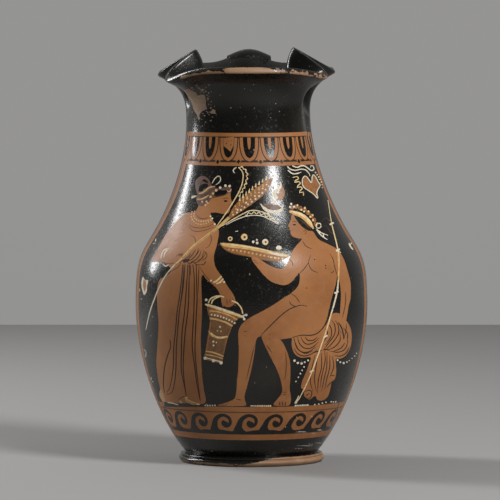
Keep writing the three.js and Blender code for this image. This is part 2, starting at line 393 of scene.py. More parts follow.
# What the brush repeats (tongues, waves, beads, dots) is set along a path by one Geometry Nodes
# tree: the path is resampled to a count, the motif is put on each point, with a little play in its
# size as a hand gives it, and turned with the path where it should follow.
along = bpy.data.node_groups.new("set along a path", "GeometryNodeTree")
for name, kind in (("Path", "NodeSocketGeometry"), ("Motif", "NodeSocketObject"),
                   ("Count", "NodeSocketInt"),
                   ("Play", "NodeSocketFloat"), ("Follow", "NodeSocketFloat"),
                   ("Seed", "NodeSocketInt"),
                   ("Paint", "NodeSocketMaterial")):
    along.interface.new_socket(name, in_out="INPUT", socket_type=kind)
along.interface.new_socket("Geometry", in_out="OUTPUT", socket_type="NodeSocketGeometry")


def step(kind, inputs=None, **settings):
    return node(along, kind, inputs, "", **settings)


given = step("NodeGroupInput").outputs
curve = step("GeometryNodeMeshToCurve", {0: given["Path"]})
spaced = step("GeometryNodeResampleCurve", {"Curve": curve.outputs[0], "Count": given["Count"]})
least = step("ShaderNodeMath", {0: 1.0, 1: given["Play"]}, operation="SUBTRACT")
most = step("ShaderNodeMath", {0: 1.0, 1: given["Play"]}, operation="ADD")
sizes = step("FunctionNodeRandomValue",
             {2: least.outputs[0], 3: most.outputs[0], "Seed": given["Seed"]})
heading = step("GeometryNodeInputTangent")
turning = step("FunctionNodeAlignRotationToVector",
               {"Vector": heading.outputs[0], "Factor": given["Follow"]}, axis="X")
motif_info = step("GeometryNodeObjectInfo", {"Object": given["Motif"]})
put = step("GeometryNodeInstanceOnPoints",
           {"Points": spaced.outputs[0], "Instance": motif_info.outputs["Geometry"],
            "Rotation": turning.outputs[0], "Scale": sizes.outputs[1]})
real = step("GeometryNodeRealizeInstances", {0: put.outputs[0]})
colouring = step("GeometryNodeSetMaterial",
                 {"Geometry": real.outputs[0], "Material": given["Paint"]})
along.links.new(colouring.outputs[0], step("NodeGroupOutput").inputs[0])


def placed(name, data):
    made = bpy.data.objects.new(name, data)
    bpy.context.collection.objects.link(made)
    return made


def flat_object(name, corners, edges, polygons):
    mesh = bpy.data.meshes.new(name)
    mesh.from_pydata([(x, y, 0) for x, y in corners], edges, polygons)
    return placed(name, mesh)


def repeat(paint, motif, path, count, play=0.0, follow=0.0, seed=1, onto=lay, smooth_path=True):
    """Paints a motif, given as outlines round (0, 0), a number of times along a path."""
    route = curve_through(path, spacing=1.0) if smooth_path else np.asarray(path, float)
    rail = flat_object("path", route, [(i, i + 1) for i in range(len(route) - 1)], [])
    starts = np.cumsum([0] + [len(outline) for outline in motif])
    stamp = flat_object("motif", np.vstack(motif), [],
                        [list(range(a, b)) for a, b in zip(starts, starts[1:])])
    modifier = rail.modifiers.new("set along", "NODES")
    modifier.node_group = along
    values = {"Motif": stamp, "Count": count, "Play": play, "Follow": follow, "Seed": seed,
              "Paint": paint}
    for socket in along.interface.items_tree:
        if socket.in_out == "INPUT" and socket.name in values:
            modifier[socket.identifier] = values[socket.name]
    evaluated = rail.evaluated_get(bpy.context.evaluated_depsgraph_get())
    done = bpy.data.meshes.new_from_object(evaluated)
    for polygon in done.polygons:
        coat(paint, onto(np.array([done.vertices[i].co[:2] for i in polygon.vertices])))
    for used in (rail, stamp):
        bpy.data.objects.remove(used)
    bpy.data.meshes.remove(done)


def beads(paint, radius, path, count, play=0.12, seed=1, **more):
    repeat(paint, [disc(0, 0, radius, sides=8)], path, count, play, 0.0, seed, **more)


# The borders: a band of tongues under the neck, a running wave over the foot, and a strip up each
# side, all left in the colour of the clay, with the black drawn into them.
band_low, band_high = 168.8, 187.2
wave_low, wave_high = 18.9, 35.0


def rise(turn, amount):
    return amount * (turn / 74) ** 2


def hoop(paint, low, high, left, right, lift=0.0):
    """A level band between two angles, a little higher at the sides by `lift`."""
    turns = np.linspace(left, right, 60)
    coat(paint, belt(np.vstack([np.stack([turns, low + rise(turns, lift)], -1),
                                np.stack([turns, high + rise(turns, lift)], -1)[::-1]])))


hoop(clay, band_low, band_high, -71, 71, 0.9)
hoop(clay, wave_low, wave_high, -74, 74)
hoop(clay, 15.6, 18.9, -74, 74)
for side, near_top, far_top, near, far in ((-1, 67, 79, 75.5, 81.5), (1, 73, 80, 75.5, 82)):
    ups = np.linspace(15, 187.6, 90)
    top = smooth((ups - 105) / 60)
    inside = np.stack([side * mix(near, near_top, top), ups], -1)
    outside = np.stack([side * mix(far, far_top, top), ups], -1)
    coat(clay, belt(np.vstack([inside, outside[::-1]])))
    dark_in = inside * (0.42, 1) + outside * (0.58, 0)
    dark_out = inside * (0.24, 1) + outside * (0.76, 0)
    coat(umber, belt(np.vstack([dark_in, dark_out[::-1]])))
hoop(line, 184.3, 185.2, -66, 66, 0.6)
hoop(line, 170.8, 172.0, -66, 66, 0.9)
hoop(umber, 31.6, 32.2, -76, 76)


def tongue(half, top, bottom, roundness=0.4):
    """A tongue hanging down, as an outline."""
    sides = np.linspace(0, 1, 14)
    across = half * np.sqrt(np.clip(1 - (sides ** (1 / roundness)), 0, 1))
    ups = mix(top, bottom, sides)
    return np.vstack([np.stack([-across, ups], -1), np.stack([across, ups], -1)[::-1][1:]])


tongue_path = [(-73.2, 178.0), (-36.6, 177.6), (0, 177.3), (36.6, 177.6), (73.2, 178.0)]
for paint, half, top, bottom, seed in ((line, 8.9, 7.2, -6.6, 4), (clay, 8.0, 7.3, -6.0, 4),
                                       (gloss, 5.3, 7.3, -4.2, 4), (clay, 1.5, 7.3, 0.6, 4)):
    repeat(paint, [tongue(half, top, bottom)], tongue_path, 9, 0.03, 0.0, seed, onto=belt)
repeat(clay, [np.array([(-2.6, -6.1), (2.6, -6.1), (0, -2.2)])],
       [(p[0] * 7 / 8, p[1]) for p in tongue_path], 8, 0.05, 0.0, 2, onto=belt)
repeat(gloss, [disc(0, -6.3, 1.2)], [(p[0] * 7 / 8, p[1]) for p in tongue_path], 8, 0.05, 0.0, 2,
       onto=belt)
flat_fill(clay, [(-23.4, 184.4), (-13.4, 185.2), (-13.6, 180.2), (-16.4, 176.8), (-19.4, 178.4),
                 (-23, 180)], belt)
for x, y, size in ((-20.4, 181.4, 0.5), (-18.2, 182.8, 0.35), (-16.2, 180.6, 0.5),
                   (-19, 184.4, 0.3), (-15.6, 183, 0.3)):
    coat(gloss, belt(disc(x, y, size, 0.8, 6)))

wave_scale = 1.14
wave_path = np.array([(-7.9, -4.6), (-6.7, -0.7), (-5.5, 2.1), (-3.2, 4.2), (-0.4, 4.9),
                      (2.3, 3.6), (3.1, 1.4), (2.2, -0.7), (0, -1.5), (-1.5, -0.4), (-1.3, 1.0),
                      (-0.2, 1.3)])
wave_line = curve_through(wave_path, spacing=0.7)
wave_share = np.linspace(0, 1, len(wave_line))
wave_width = np.interp(wave_share, [0, 0.14, 0.3, 0.45, 0.75, 0.9, 1],
                       [5.6, 3.6, 2.5, 1.9, 1.9, 1.9, 1.4])
curl = [piece * (wave_scale * 0.94, 0.96) for piece in ribbon(wave_line, wave_width)]
bowl_left = np.array([(-8.4, -5.2), (-0.6, -5.2), (-2.6, -4.6), (-4.6, -3.4), (-5.9, -1.4),
                      (-7.2, -1.2)])
bowl_right = np.array([(0.8, -5.2), (9.2, -5.2), (8.6, -1.4), (6.8, -2.6), (5.0, -3.8),
                       (3.0, -4.6)])
repeat(gloss, curl + [bowl_left, bowl_right, disc(0.2, -0.1, 1.7, 1 / wave_scale)],
       [(-66, 25.6), (-0.5, 25.2), (65, 25.6)], 9, 0.04, 0.0, 3, onto=belt)
turns = np.linspace(-76, 76, 140)
bumps = 21.2 + 0.35 * np.sin(turns * 0.19) + 0.2 * np.sin(turns * 0.53)
coat(gloss, belt(np.vstack([np.stack([turns, 0 * turns + 18.9], -1),
                            np.stack([turns, bumps], -1)[::-1]])))

stroke(gloss, [(343, 395.6), (338.5, 405.3), (337.4, 412), (333.7, 420), (329.8, 430)], 0.9, 0.6,
       0.6)

# The woman at the left, in a long belted dress: the clay is left bare for her, the folds are
# black lines, and her beads, bracelets and shoes are thick white and yellow slip.
fill(clay, [(200, 202), (197.5, 208), (194, 212), (186, 213), (176, 221), (165, 235.5), (157, 250),
            (151.8, 258.8), (153, 261.6), (160, 262), (166, 264), (171, 270), (166, 276),
            (159.4, 280), (156.8, 292), (157.4, 310), (158.4, 326), (156.8, 351), (156.3, 367),
            (159.4, 387), (164, 402), (172, 404.5), (186, 403.5), (204.5, 403.5), (203.4, 388),
            (201.7, 372), (200.7, 341), (201.9, 310), (201.2, 281), (203, 275), (206, 279),
            (212, 284), (217, 289), (220.5, 296), (222, 304), (226, 307), (231, 306.5),
            (235.5, 302), (233, 294), (228, 287), (222, 277), (215.5, 267), (213.9, 256),
            (216.8, 245), (218.8, 233), (217.4, 227), (213, 220.5), (210.6, 214.5), (211, 207),
            (206, 203)])
# bun and cap of hair, with the band twice round it
fill(hair, [(195.4, 187.5), (195.6, 181), (199, 177), (204, 176), (208.6, 179), (211, 184),
            (214, 187), (220, 188), (228, 186), (231.4, 189.4), (229.8, 194), (224, 195.5),
            (216, 196.5), (211, 199), (207, 202), (203, 206), (198, 204.6), (196, 199), (197, 194)])
fill(gloss, [(214.5, 195.6), (215.4, 191.6), (219, 189.6), (223, 190.4), (227, 190), (226.6, 193),
            (222.5, 195.2)])
fill(gloss, [(198.4, 191), (199.6, 186.4), (203.4, 183.6), (207.8, 184), (208, 186.4),
            (204.4, 188.8), (201.4, 191.4)])
fill(gloss, [(201.6, 181.4), (204, 179), (207, 180.6), (208.4, 183), (205.4, 182.4),
            (203.4, 181.4)])
strokes(line, 0.7, [(199.6, 195.2), (204.6, 194.4), (210.6, 190.6), (215, 188.6)],
        [(199.8, 197), (205, 195.8), (210.8, 192)], [(197.4, 201.4), (203, 201.6), (207.6, 199),
            (210.4, 197)], [(202.2, 180.6), (200.6, 184.6), (199, 187)])
strokes(line, 0.6, [(216, 196.4), (217.4, 194.4), (218.6, 196)],
        [(219, 195.8), (220.6, 193.8), (222.4, 195.6)])
strokes(yellow, 1.35, [(198.7, 193.4), (202, 192.9), (205.5, 190.3), (209.6, 187.2), (215, 186.2)],
        [(197.2, 199.1), (201.4, 198.9), (205.5, 197.1), (208.6, 195)], start=0.9, end=0.6)
fill(cream, [(191.4, 198.2), (192, 196), (196.8, 195.5), (194.2, 197.6)])
strokes(cream, 0.95, [(212.1, 183.2), (214.6, 178.8), (218, 176), (220.4, 177.4), (220.3, 180.6),
            (217.8, 183.4), (215.6, 184.8)], start=0.8)
dots(cream, 1.3, (220.2, 187.5), (225.4, 185.5), (229.6, 185.9))
dots(yellow, 1.25, (210.6, 196.6), (212.9, 193.4))
dots(peach, 1.35, (216.2, 190.2))
strokes(peach, 1.0, [(231.2, 188.8), (230.4, 190.8), (227.8, 191.6), (227, 189.8)])
# a plain profile
fill(clay, [(213, 198), (219, 196.6), (225, 195.2), (230, 192.4), (230.6, 196), (231.2, 199.6),
            (232.6, 203.4), (230.8, 204.8), (231, 206.6), (229.8, 208), (230, 210), (228, 213),
            (223, 213.8), (216, 212.4), (210, 212), (207, 206), (209, 201)])
stroke(line, [(222.6, 199.0), (225.8, 197.8), (228.4, 198.6)], 0.6, 0.5, 0.4)
fill(gloss, [(223.4, 201.0), (225.6, 200.0), (227.8, 200.9), (225.7, 201.9)])
stroke(line, [(227.2, 207.9), (229.7, 207.4)], 0.5, 0.5, 0.8)
stroke(line, [(229.0, 204.6), (230.4, 204.9)], 0.4)
dots(peach, 1.0, (205.4, 205), (207.6, 202.8), (206.3, 201.4), (202.2, 201.6))
beads(peach, 0.8, [(194.5, 211.2), (193.8, 216.2), (196.4, 219.6), (200.4, 221.1), (205.5, 220.9),
            (210.4, 219.6)], 11)
beads(yellow, 0.82, [(192, 211.6), (191.3, 216.4), (193, 220.4), (196.3, 223.3), (201, 224.2),
            (206, 223.4), (210.4, 220.8), (212.4, 218.4)], 13, seed=3)
dots(cream, 1.0, (210.5, 216.2), (212.3, 218.4), (214.7, 224))
strokes(line, 0.6, [(196, 214), (199, 217.6), (203.6, 218.8), (208.6, 217.4)],
        [(189.2, 223.7), (192.2, 226.7), (200.4, 227.9), (208.6, 226.2), (213.4, 224)],
        [(188.2, 225.4), (191.7, 229.8), (196.4, 231.3), (203, 230.6), (213.4, 227.2)],
        [(190.2, 235.4), (193.3, 236.4), (195.4, 239.6), (195.6, 243.8), (193.6, 247.4)],
        [(207.6, 233.4), (211.2, 236.6), (211.2, 241), (208.8, 246), (204.7, 248.4)],
        [(199.6, 249), (197, 254), (192.4, 258.4)], [(206, 252), (203, 257.4), (197, 261)],
        [(199.7, 267), (204.7, 275), (212, 282.9)], [(162, 261.8), (169, 263.8), (175, 262.6)])
strokes(cream, 1.2, [(168.6, 248), (164.4, 249.8), (162.2, 252.6), (160.6, 258.6)],
        [(167.4, 249.6), (165, 252.6), (163.8, 257.2)], [(162.4, 263.4), (165.6, 266.2),
            (168.4, 264.6)])
strokes(cream, 0.85, [(186, 213.2), (182.6, 215), (176.4, 221), (170.6, 228)])
strokes(pale, 1.7, [(213.2, 282.5), (217, 280.6), (221.6, 276)],
        [(216.1, 283.6), (220, 282.2), (223.2, 278.6)], start=0.8, end=0.8)
dots(cream, 1.0, (210.9, 280.6), (224.2, 282))
stroke(clay, [(222, 302), (223.4, 306.4)], 1.6)
strokes(line, 0.5, [(226.5, 299), (227.4, 304.8)], [(229.6, 298.6), (230.6, 304)],
        [(232.4, 297.6), (233.4, 301.4)])
# belt, tied over bunched cloth, and the folds of the dress
strokes(line, 0.85, [(187.5, 259.6), (192, 255), (195.6, 249.4)],
        [(188.4, 261), (193.4, 258), (197, 253), (198.4, 248.4)],
        [(190.4, 262.4), (195.4, 260), (199.4, 255.4), (201, 250.6)],
        [(194, 263.2), (199, 261), (202.6, 256.4), (203.2, 251.6)],
        [(203, 250.4), (206.8, 254.2), (205.8, 258), (201.4, 260.2)],
        [(200.4, 264.8), (204, 264.2), (205.8, 260.6)], [(182.6, 260.6), (186, 261), (189.6, 263.6),
            (193, 262), (196.6, 264.6), (200.6, 264.6)], [(176.2, 256.4), (179.4, 254.2),
            (182.6, 257.6), (180, 262.4), (176.6, 260)], [(177, 262.4), (181, 259), (184.4, 263.4)],
        [(178.6, 256), (181.6, 253.6), (184, 256.2)], [(184.6, 258.8), (188.6, 256.6),
            (190.6, 253.4)])
fill(line, [(182.6, 259.8), (187.4, 258.8), (190, 259.8), (186.4, 262.2), (183.4, 262.4)])
strokes(line, 0.7, [(181, 263), (177.8, 267), (171.6, 271.4)])
strokes(line, 1.15, [(182.8, 264.5), (181, 284), (179, 300), (177, 312), (175.4, 331), (173.6, 347),
            (173.4, 361.5), (172.4, 373.7), (169.9, 387), (166.8, 392.6)],
        [(185, 264.5), (183.4, 284), (181, 300), (179.2, 312), (177.5, 331), (176.2, 347),
         (175.7, 369.6), (174, 385), (171.4, 393), (166.3, 395)],
        [(187.9, 264.5), (186.6, 284), (184.4, 312), (182.1, 331), (181.3, 351), (181.1, 369.6),
         (183.7, 384), (186.2, 396.4)], [(189.4, 264.5), (188.9, 284), (188, 308.4), (185.2, 331),
            (183.7, 351), (183, 367.6), (184.2, 382), (186, 395)],
        [(192.8, 264.5), (194.2, 280), (193.8, 310), (192.6, 331), (192.1, 347), (194.4, 365.5),
         (196.4, 382), (199.8, 400)], [(196.2, 264.5), (196.6, 284), (197, 300), (196.2, 315),
            (195.4, 331), (194.9, 351), (196.4, 369.6), (198.5, 388), (200.2, 401)],
        [(169.9, 340), (170.4, 347), (167.3, 356), (164.8, 365.5), (163.6, 375), (163.3, 386),
         (164.3, 393)], start=0.8, end=0.6)
strokes(line, 0.8, [(199, 265), (198.4, 278), (198.2, 292)], [(190.6, 264.8), (190.4, 276)],
        [(183.8, 264.5), (182.2, 288), (179.8, 306)])
strokes(line, 0.7, [(178.6, 400.4), (182, 397.4), (185.6, 397)])
fill(yellow, [(184.2, 397.8), (187.6, 399.4), (191, 401.4), (196.4, 403.3), (199.4, 404.8),
            (193, 405), (188.6, 403.4), (185.4, 400.4)])
stroke(umber, [(187, 401), (191.4, 403.4), (195.4, 404.4)], 0.6)
strokes(cream, 1.8, [(179.6, 401.2), (181.4, 403)], [(196.6, 404.6), (199.6, 405.2)],
        [(185.4, 397.6), (187.4, 398.4)])
flat_fill(gloss, [(164, 402.4), (178, 403.6), (190, 405.6), (206, 405), (206, 407.4), (164, 407.4)])

# The stalk she carries over her shoulder, with one big toothed leaf and two double tendrils.


def waving(path, swing, count):
    """The curve through some points, swung to and fro across itself."""
    route = curve_through(path, spacing=0.6)
    ahead = unit(np.gradient(route, axis=0))
    swinging = swing * np.sin(np.linspace(0, 2 * math.pi * count, len(route)))
    return route + np.stack([-ahead[:, 1], ahead[:, 0]], -1) * swinging[:, None]


fill(wash, [(228, 219.4), (231.4, 210.4), (236.6, 203), (244, 196.4), (252, 190.4), (260.6, 184.6),
            (272.4, 177.6), (269.6, 186.6), (264, 194.4), (256.6, 200.6), (248.6, 206.4),
            (239.6, 212.4), (231.8, 217.6)])
repeat(pale, [np.array([(-1, 1.3), (1, 1.3), (0.7, -2.4), (0.2, -2.8)])],
       [(239.6, 199.6), (247.6, 192.6), (256.8, 184.9), (266, 178.8)], 9, 0.15, 0.0, 5)
beads(yellow, 0.95, [(232.6, 212), (240, 204.6), (249, 197), (263, 186.4)], 9, 0.2, 7)
beads(cream, 0.95, [(233, 214.6), (240.4, 210.2), (248.4, 204), (259.6, 195.6), (268.6, 186)], 11,
      0.2, 2)
beads(yellow, 0.85, [(235.4, 206.2), (243.6, 199.4), (253, 192.2), (267, 182)], 9, 0.2, 9)
beads(cream, 0.85, [(237.6, 209.6), (246, 202.6), (256, 195), (266.6, 184.4)], 8, 0.2, 4)
stroke(yellow, [(174.4, 264.6), (181.5, 258.7), (193, 246.6), (205, 237), (217.8, 227.6),
            (229, 217.4)], 2.5, 0.6, 1.15)
strokes(gloss, 0.35, [(182, 258.6), (193.6, 246.8), (205.4, 237.2), (218.2, 228)], start=0.8,
        end=0.8)
stroke(cream, [(145.6, 330), (149.4, 313), (154, 299.6), (159, 287.4), (165.4, 275.6),
            (174.6, 264.6)], 1.2, 0.5, 0.9)
left_tendril = [(216.4, 226.4), (223.9, 216), (231, 205.3), (237.1, 195.1), (241.6, 185.4),
            (243.2, 175.4), (241.6, 170.4), (238.4, 167.2)]
left_edge = [(239, 195.8), (243.6, 188.4), (246.2, 181.6), (247.2, 174.6), (245.4, 169.8),
            (241.6, 166.9), (238.4, 166.9)]
stroke(pale, left_tendril, 1.15, 0.7, 0.7)
stroke(pale, waving(left_edge, 0.8, 8), 0.9, 0.5, 0.9)
beads(pale, 0.95, [(x + 0.5, y) for x, y in left_edge[:-1]], 8, 0.3, 6)
stroke(cream, [(236.6, 167.3), (233.8, 169), (233.4, 171.4), (234.8, 172.9)], 1.1, 0.8, 0.6)
right_tendril = [(221.8, 226), (232, 219.8), (243.8, 213.3), (251.4, 210.3), (260, 211.2),
            (268, 214.4), (277.6, 221.6)]
right_edge = [(226, 224.8), (236.6, 219.4), (246, 216.2), (254, 215.2), (262, 216), (270, 219.4),
            (279, 224.4)]
stroke(pale, right_tendril, 1.1, 0.7, 0.6)
stroke(cream, right_edge, 0.9, 0.6, 0.6)
stroke(cream, waving([((a[0] + b[0]) / 2, (a[1] + b[1]) / 2) for a,
            b in zip(right_tendril[2:], right_edge[2:])], 1.0, 7), 0.8)

# The pail in her hand, painted in thinned brown with white and yellow on it.
pail = [(207.1, 306.3), (209.7, 320.6), (208.2, 332.9), (206.6, 343.1), (205.1, 352.2),
        (204.6, 357.3), (213, 359.6), (221.9, 361.4), (223.5, 356.3), (227, 341), (232.1, 326.7),
        (237.2, 319.6), (242.3, 316.4), (232, 311), (218, 306.8)]
fill(brown, pail)
fill(wash, [(209.6, 309.4), (222, 311.6), (236.6, 317.4), (234.4, 320.4), (222, 316.4),
            (210.2, 314)])
stroke(wash, [(210.6, 321.6), (209.2, 333), (206.8, 350)], 1.3)
stroke(wash, [(231.2, 327.6), (226.4, 341), (223.4, 353.6)], 1.0)
stroke(pale, [(205, 304.4), (211, 306), (224, 310.6), (232, 313.2), (243.4, 317)], 2.6, 0.7, 0.8)
stroke(yellow, [(207, 306), (211, 307.2), (224, 311.8), (232, 314.4), (242.4, 318)], 0.9, 0.7, 0.8)
stroke(cream, [(214, 306), (224, 309.6), (236, 313.8)], 0.9)
stroke(yellow, [(209.7, 311), (217, 311.6), (227, 314.6), (237.2, 319.6)], 1.3)
stroke(yellow, [(209.7, 318.4), (215.6, 319.4), (225, 322.2), (232.4, 326.2)], 1.7)
beads(cream, 0.95, [(211.6, 314.8), (218, 316), (227, 319), (234.6, 323.2)], 9, 0.1, 2)
for arc in ([(208.2, 303.4), (210.2, 299.2), (214.8, 296.6), (220, 296.1), (224, 297.2)],
            [(211.2, 304), (212.8, 300.2), (215.8, 298), (220, 296.6)],
            [(231.6, 300.7), (237.2, 303.2), (241.4, 308.4), (242.8, 314)]):
    stroke(pale, arc, 1.4, 0.7, 0.8)
stroke(cream, [(242.4, 316.4), (244.6, 315.2), (246.4, 314.6)], 1.4, 0.7, 1.0)
stroke(cream, [(243.4, 316.6), (244.2, 319.4)], 1.4, 0.7, 1.0)
dots(cream, 1.35, (206.1, 299.9), (246.2, 315), (244.2, 319.2))
stroke(yellow, [(208.7, 331), (211.6, 335.2), (216.8, 337.6), (222, 338), (228, 336.8)], 2.0, 0.5,
       0.5)
stroke(pale, [(210.6, 333), (216, 336.8), (222, 337.4), (227, 336.6)], 1.3)
dots(cream, 1.0, (219.9, 327), (213.3, 341.8), (213.6, 345.6))
dots(cream, 0.8, (216.4, 342.6))
dots(pale, 0.6, (217.4, 331), (221, 331.4))
stroke(yellow, [(205.6, 351.4), (213.8, 352.9), (223.4, 356.6)], 1.4)
stroke(yellow, [(205.4, 354.6), (214.6, 356.4), (222.8, 358.8)], 1.0)
stroke(wash, [(203.8, 357.8), (208, 359.4), (214, 361), (222.4, 363)], 2.0)
stroke(cream, [(203.6, 357.6), (208, 358.6), (214, 360.2), (222.6, 362.4)], 1.0)
dots(cream, 1.7, (205.1, 358.4), (213.3, 360.8), (221, 363))

# In the field between them: a bird over a small dish, a bow of ribbons, a heart-shaped leaf, and
# the flat dish of fruit that the youth holds out.
fill(umber, [(263, 204.4), (271, 204.4), (280, 206), (281, 208.6), (274, 210), (266, 208)])
stroke(wash, [(264, 204.6), (271, 204.2), (279.4, 205.8)], 1.0)
stroke(cream, [(260.6, 203.6), (263.4, 207.4), (268.4, 210.8), (275.4, 211.8), (281, 210),
            (282.2, 206.8), (279.8, 206)], 3.0, 0.35, 0.3)
stroke(cream, [(267, 212.4), (269.6, 214.4)], 1.6)
fill(wash, [(281, 184.6), (284.4, 190), (284.6, 195), (281.4, 199.6), (277, 200), (276.2, 196),
            (279.6, 192)])
fill(cream, [(280, 181), (281.8, 184.4), (281, 188), (277.4, 191.4), (276.6, 195.6), (278.4, 197.4),
            (276, 199), (273, 196.4), (273, 192), (276.4, 188.4), (279.6, 185.6)])
dots(umber, 0.9, (277, 193.6))
stroke(cream, [(275.8, 199), (274.6, 202), (273.6, 205)], 1.1, 0.7, 0.7)
strokes(cream, 1.15, [(287.4, 166.2), (289.8, 168.8), (295.1, 170.2), (300.8, 169.1),
            (305.6, 169.8), (308.9, 173.2), (310, 176)], [(292.2, 165.6), (297, 167.3),
            (300.8, 165.8), (304.6, 165.8), (308.5, 168.6), (311.8, 170.5), (314.2, 168.8),
            (313.2, 165.8), (311, 165.6), (310.6, 167.4)],
        [(287.9, 170), (292.2, 173.4), (297, 173.4), (301.3, 172)], start=0.9, end=0.6)
stroke(pale, [(292.7, 177.4), (297, 176.5), (298.4, 178.7), (295.1, 180.6), (294.8, 182.2),
            (298.9, 181.4), (300.3, 183.4), (297.9, 185.4), (297.2, 187.4), (300.8, 186.7),
            (302.2, 188.7), (299.9, 190.6), (299.6, 192.6), (303.2, 192), (303.4, 195.6)], 1.0, 0.7,
       0.9)
heart = [(302.4, 179), (304.2, 176.2), (306.8, 176.8), (311.3, 182.4), (312.2, 176.6),
         (313.5, 174.6), (315.8, 177), (318.2, 181.6), (320.2, 185), (318, 189.4), (316.8, 193),
         (317.7, 198.2), (313.3, 193.7), (307.5, 189.8), (304, 187.2), (302.3, 183.6)]
coat(wash, lay(curve_through(heart, closed=True, spacing=0.8)))
stroke(cream, heart + heart[:1], 0.9, 0.9, 0.9, spacing=1.0)
beads(pale, 0.7, [(315.6, 172.4), (319.2, 177.4), (321.6, 182.4), (322.4, 187.4)], 7, 0.3, 3)
fill(wash, [(220.6, 243.6), (232, 244.6), (256, 248), (276, 252.6), (288, 255.6), (283.6, 259.4),
            (276, 261.6), (264, 260.2), (250, 257), (236, 254.4), (226, 250.4)])
stroke(umber, [(226, 250.6), (238, 254.4), (252, 257.4), (266, 260.6), (276, 261.4)], 0.6, 0.5, 0.5)
fill(yellow, [(220.2, 243), (232, 243.4), (250, 246), (270, 250.4), (288.4, 254.6), (287.4, 257.2),
            (274, 255), (256, 251), (240, 248.4), (226, 246.8)])
stroke(pale, [(223, 243.8), (238, 245.4), (256, 248.2), (272, 251.6)], 1.2, 0.4, 0.5)
stroke(cream, [(268, 252), (278, 254.4), (287.4, 255.8)], 2.0, 0.3, 0.8)
beads(yellow, 0.95, [(229, 249.4), (245, 251.8), (262, 255.2), (276, 258)], 13, 0.15, 5)
beads(pale, 0.95, [(271, 257.2), (282.6, 258.6)], 4, 0.15, 6)
for x, y, radius, ground in ((230, 238.4, 2.7, gloss), (244.3, 236.9, 3.4, yellow),
            (265.3, 241.9, 3.1, cream)):
    coat(ground, lay(disc(x, y, radius, sides=14)))
    ring = [(x + 0.2 + radius * 0.66 * math.cos(a),
             y + 0.3 + radius * 0.66 * math.sin(a)) for a in np.linspace(0, 6.28, 12)]
    stroke(pale, ring, radius * 0.42)
    coat(umber, lay(disc(x + 0.3, y + 0.2, radius * 0.36, sides=8)))
fill(cream, [(275.8, 247.6), (278, 245.4), (281, 246.2), (281.6, 248.6), (279, 249.8),
            (276.4, 249)])
stroke(cream, [(235.4, 231.4), (238.2, 231)], 1.2, 0.6, 0.6)
dots(cream, 1.35, (253.2, 241.7), (257.2, 242.9))
dots(cream, 1.05, (256.9, 239.7))

# The seated youth at the right, turned to her: bare clay again, with thin black lines for the body,
# black hair under a yellow band, and a cloth under him that falls in loops.
fill(clay, [(294, 336), (292, 340), (292, 347.1), (295.1, 354.3), (301.2, 357.9), (309.4, 357.3),
            (311, 359), (309, 364), (307.3, 369.6), (304.6, 376), (302.2, 381.8), (301.2, 388),
            (304.3, 390.6), (304.3, 396.1), (309.4, 399.9), (313.5, 397.1), (316, 396.6),
            (317.6, 400.2), (322.7, 400.9), (327.8, 397.1), (330.3, 390), (331.8, 382.9),
            (334.9, 379.8), (336.4, 371.6), (335.9, 361.4), (336.4, 359), (342, 358.4),
            (347.6, 353.6), (351.4, 344), (351.4, 331), (346.6, 321), (339, 313.4), (331, 315),
            (326, 325), (317, 332)])
fill(clay, [(262, 336), (264.6, 345), (268, 352), (272.5, 361), (277, 370), (280.4, 379),
            (282.2, 388), (281.5, 394), (277, 400), (273.5, 404.6), (276, 406.2), (284, 406.2),
            (289.3, 405.7), (291, 401), (290.9, 396), (289.8, 389), (290.4, 378), (290.3, 364),
            (288.8, 357), (286.3, 350), (281.4, 341), (272, 334)])
fill(clay, [(304.4, 236), (300.6, 241), (296, 246), (292, 252), (289.4, 259), (284.6, 267.6),
            (278, 268.4), (270, 265.5), (264, 262), (258, 258), (252, 256.6), (252.6, 261),
            (259.5, 270), (266, 277.4), (273, 282.4), (283.6, 285.2), (290.7, 282.6), (296, 276.6),
            (299.4, 273), (299.6, 281), (297.4, 287), (291, 293.4), (283.6, 298), (274, 304.5),
            (264.6, 310), (257, 314), (250, 317.8), (243, 323), (239.6, 328), (238.2, 334),
            (238.4, 345), (237.6, 362), (237, 379), (236.4, 391), (234.6, 398.6), (229, 402),
            (222, 404.2), (217.4, 405.8), (226, 406.6), (236, 406.6), (245.8, 405.9), (245, 401),
            (244.6, 396), (247.5, 385), (251.5, 369), (254.6, 352), (256, 341), (260, 336.6),
            (272, 337.6), (280, 339.5), (294, 337.6), (309, 337), (317.4, 333), (324, 325.6),
            (328, 315), (331.4, 300), (335.4, 286), (337.6, 276), (340, 284), (341, 295),
            (340.4, 308), (339.4, 322), (337.2, 331), (337.6, 337.4), (341, 338), (344, 331),
            (346.8, 318), (348.8, 306), (350.6, 299), (351, 290), (350.5, 281.6), (348, 272),
            (345, 262), (341.5, 254.6), (337, 249), (328, 244), (320, 240.2), (316, 236),
            (312, 231)])
# a plain profile under curls and a band
fill(clay, [(291.8, 214.6), (291, 219), (289.8, 222), (288, 226), (289.8, 227.6), (289.4, 229.4),
            (290.4, 230.8), (290.4, 233), (292.4, 236), (297, 238), (303, 238.4), (309, 236),
            (312, 228), (306, 218), (298, 213)])
fill(gloss, [(293.6, 214.6), (299, 216), (304.6, 219.6), (309, 224), (313, 228.8), (310.6, 231),
            (306, 229.4), (301, 225.6), (297, 220.6)])
strokes(umber, 0.7, [(299, 219), (304.6, 223.4), (309.4, 228.6)],
        [(302, 220), (307, 224.4), (311, 228.4)])
stroke(line, [(292.2, 222.0), (294.6, 221.2), (297.2, 222.2)], 0.6, 0.5, 0.5)
fill(gloss, [(292.6, 224.6), (294.4, 223.8), (296.2, 224.6), (294.4, 225.4)])
stroke(line, [(289.6, 230.4), (292.4, 230.8)], 0.5, 0.8, 0.5)
stroke(line, [(303.6, 232), (305.2, 229.8), (306.4, 231.8), (304.8, 234)], 0.5)
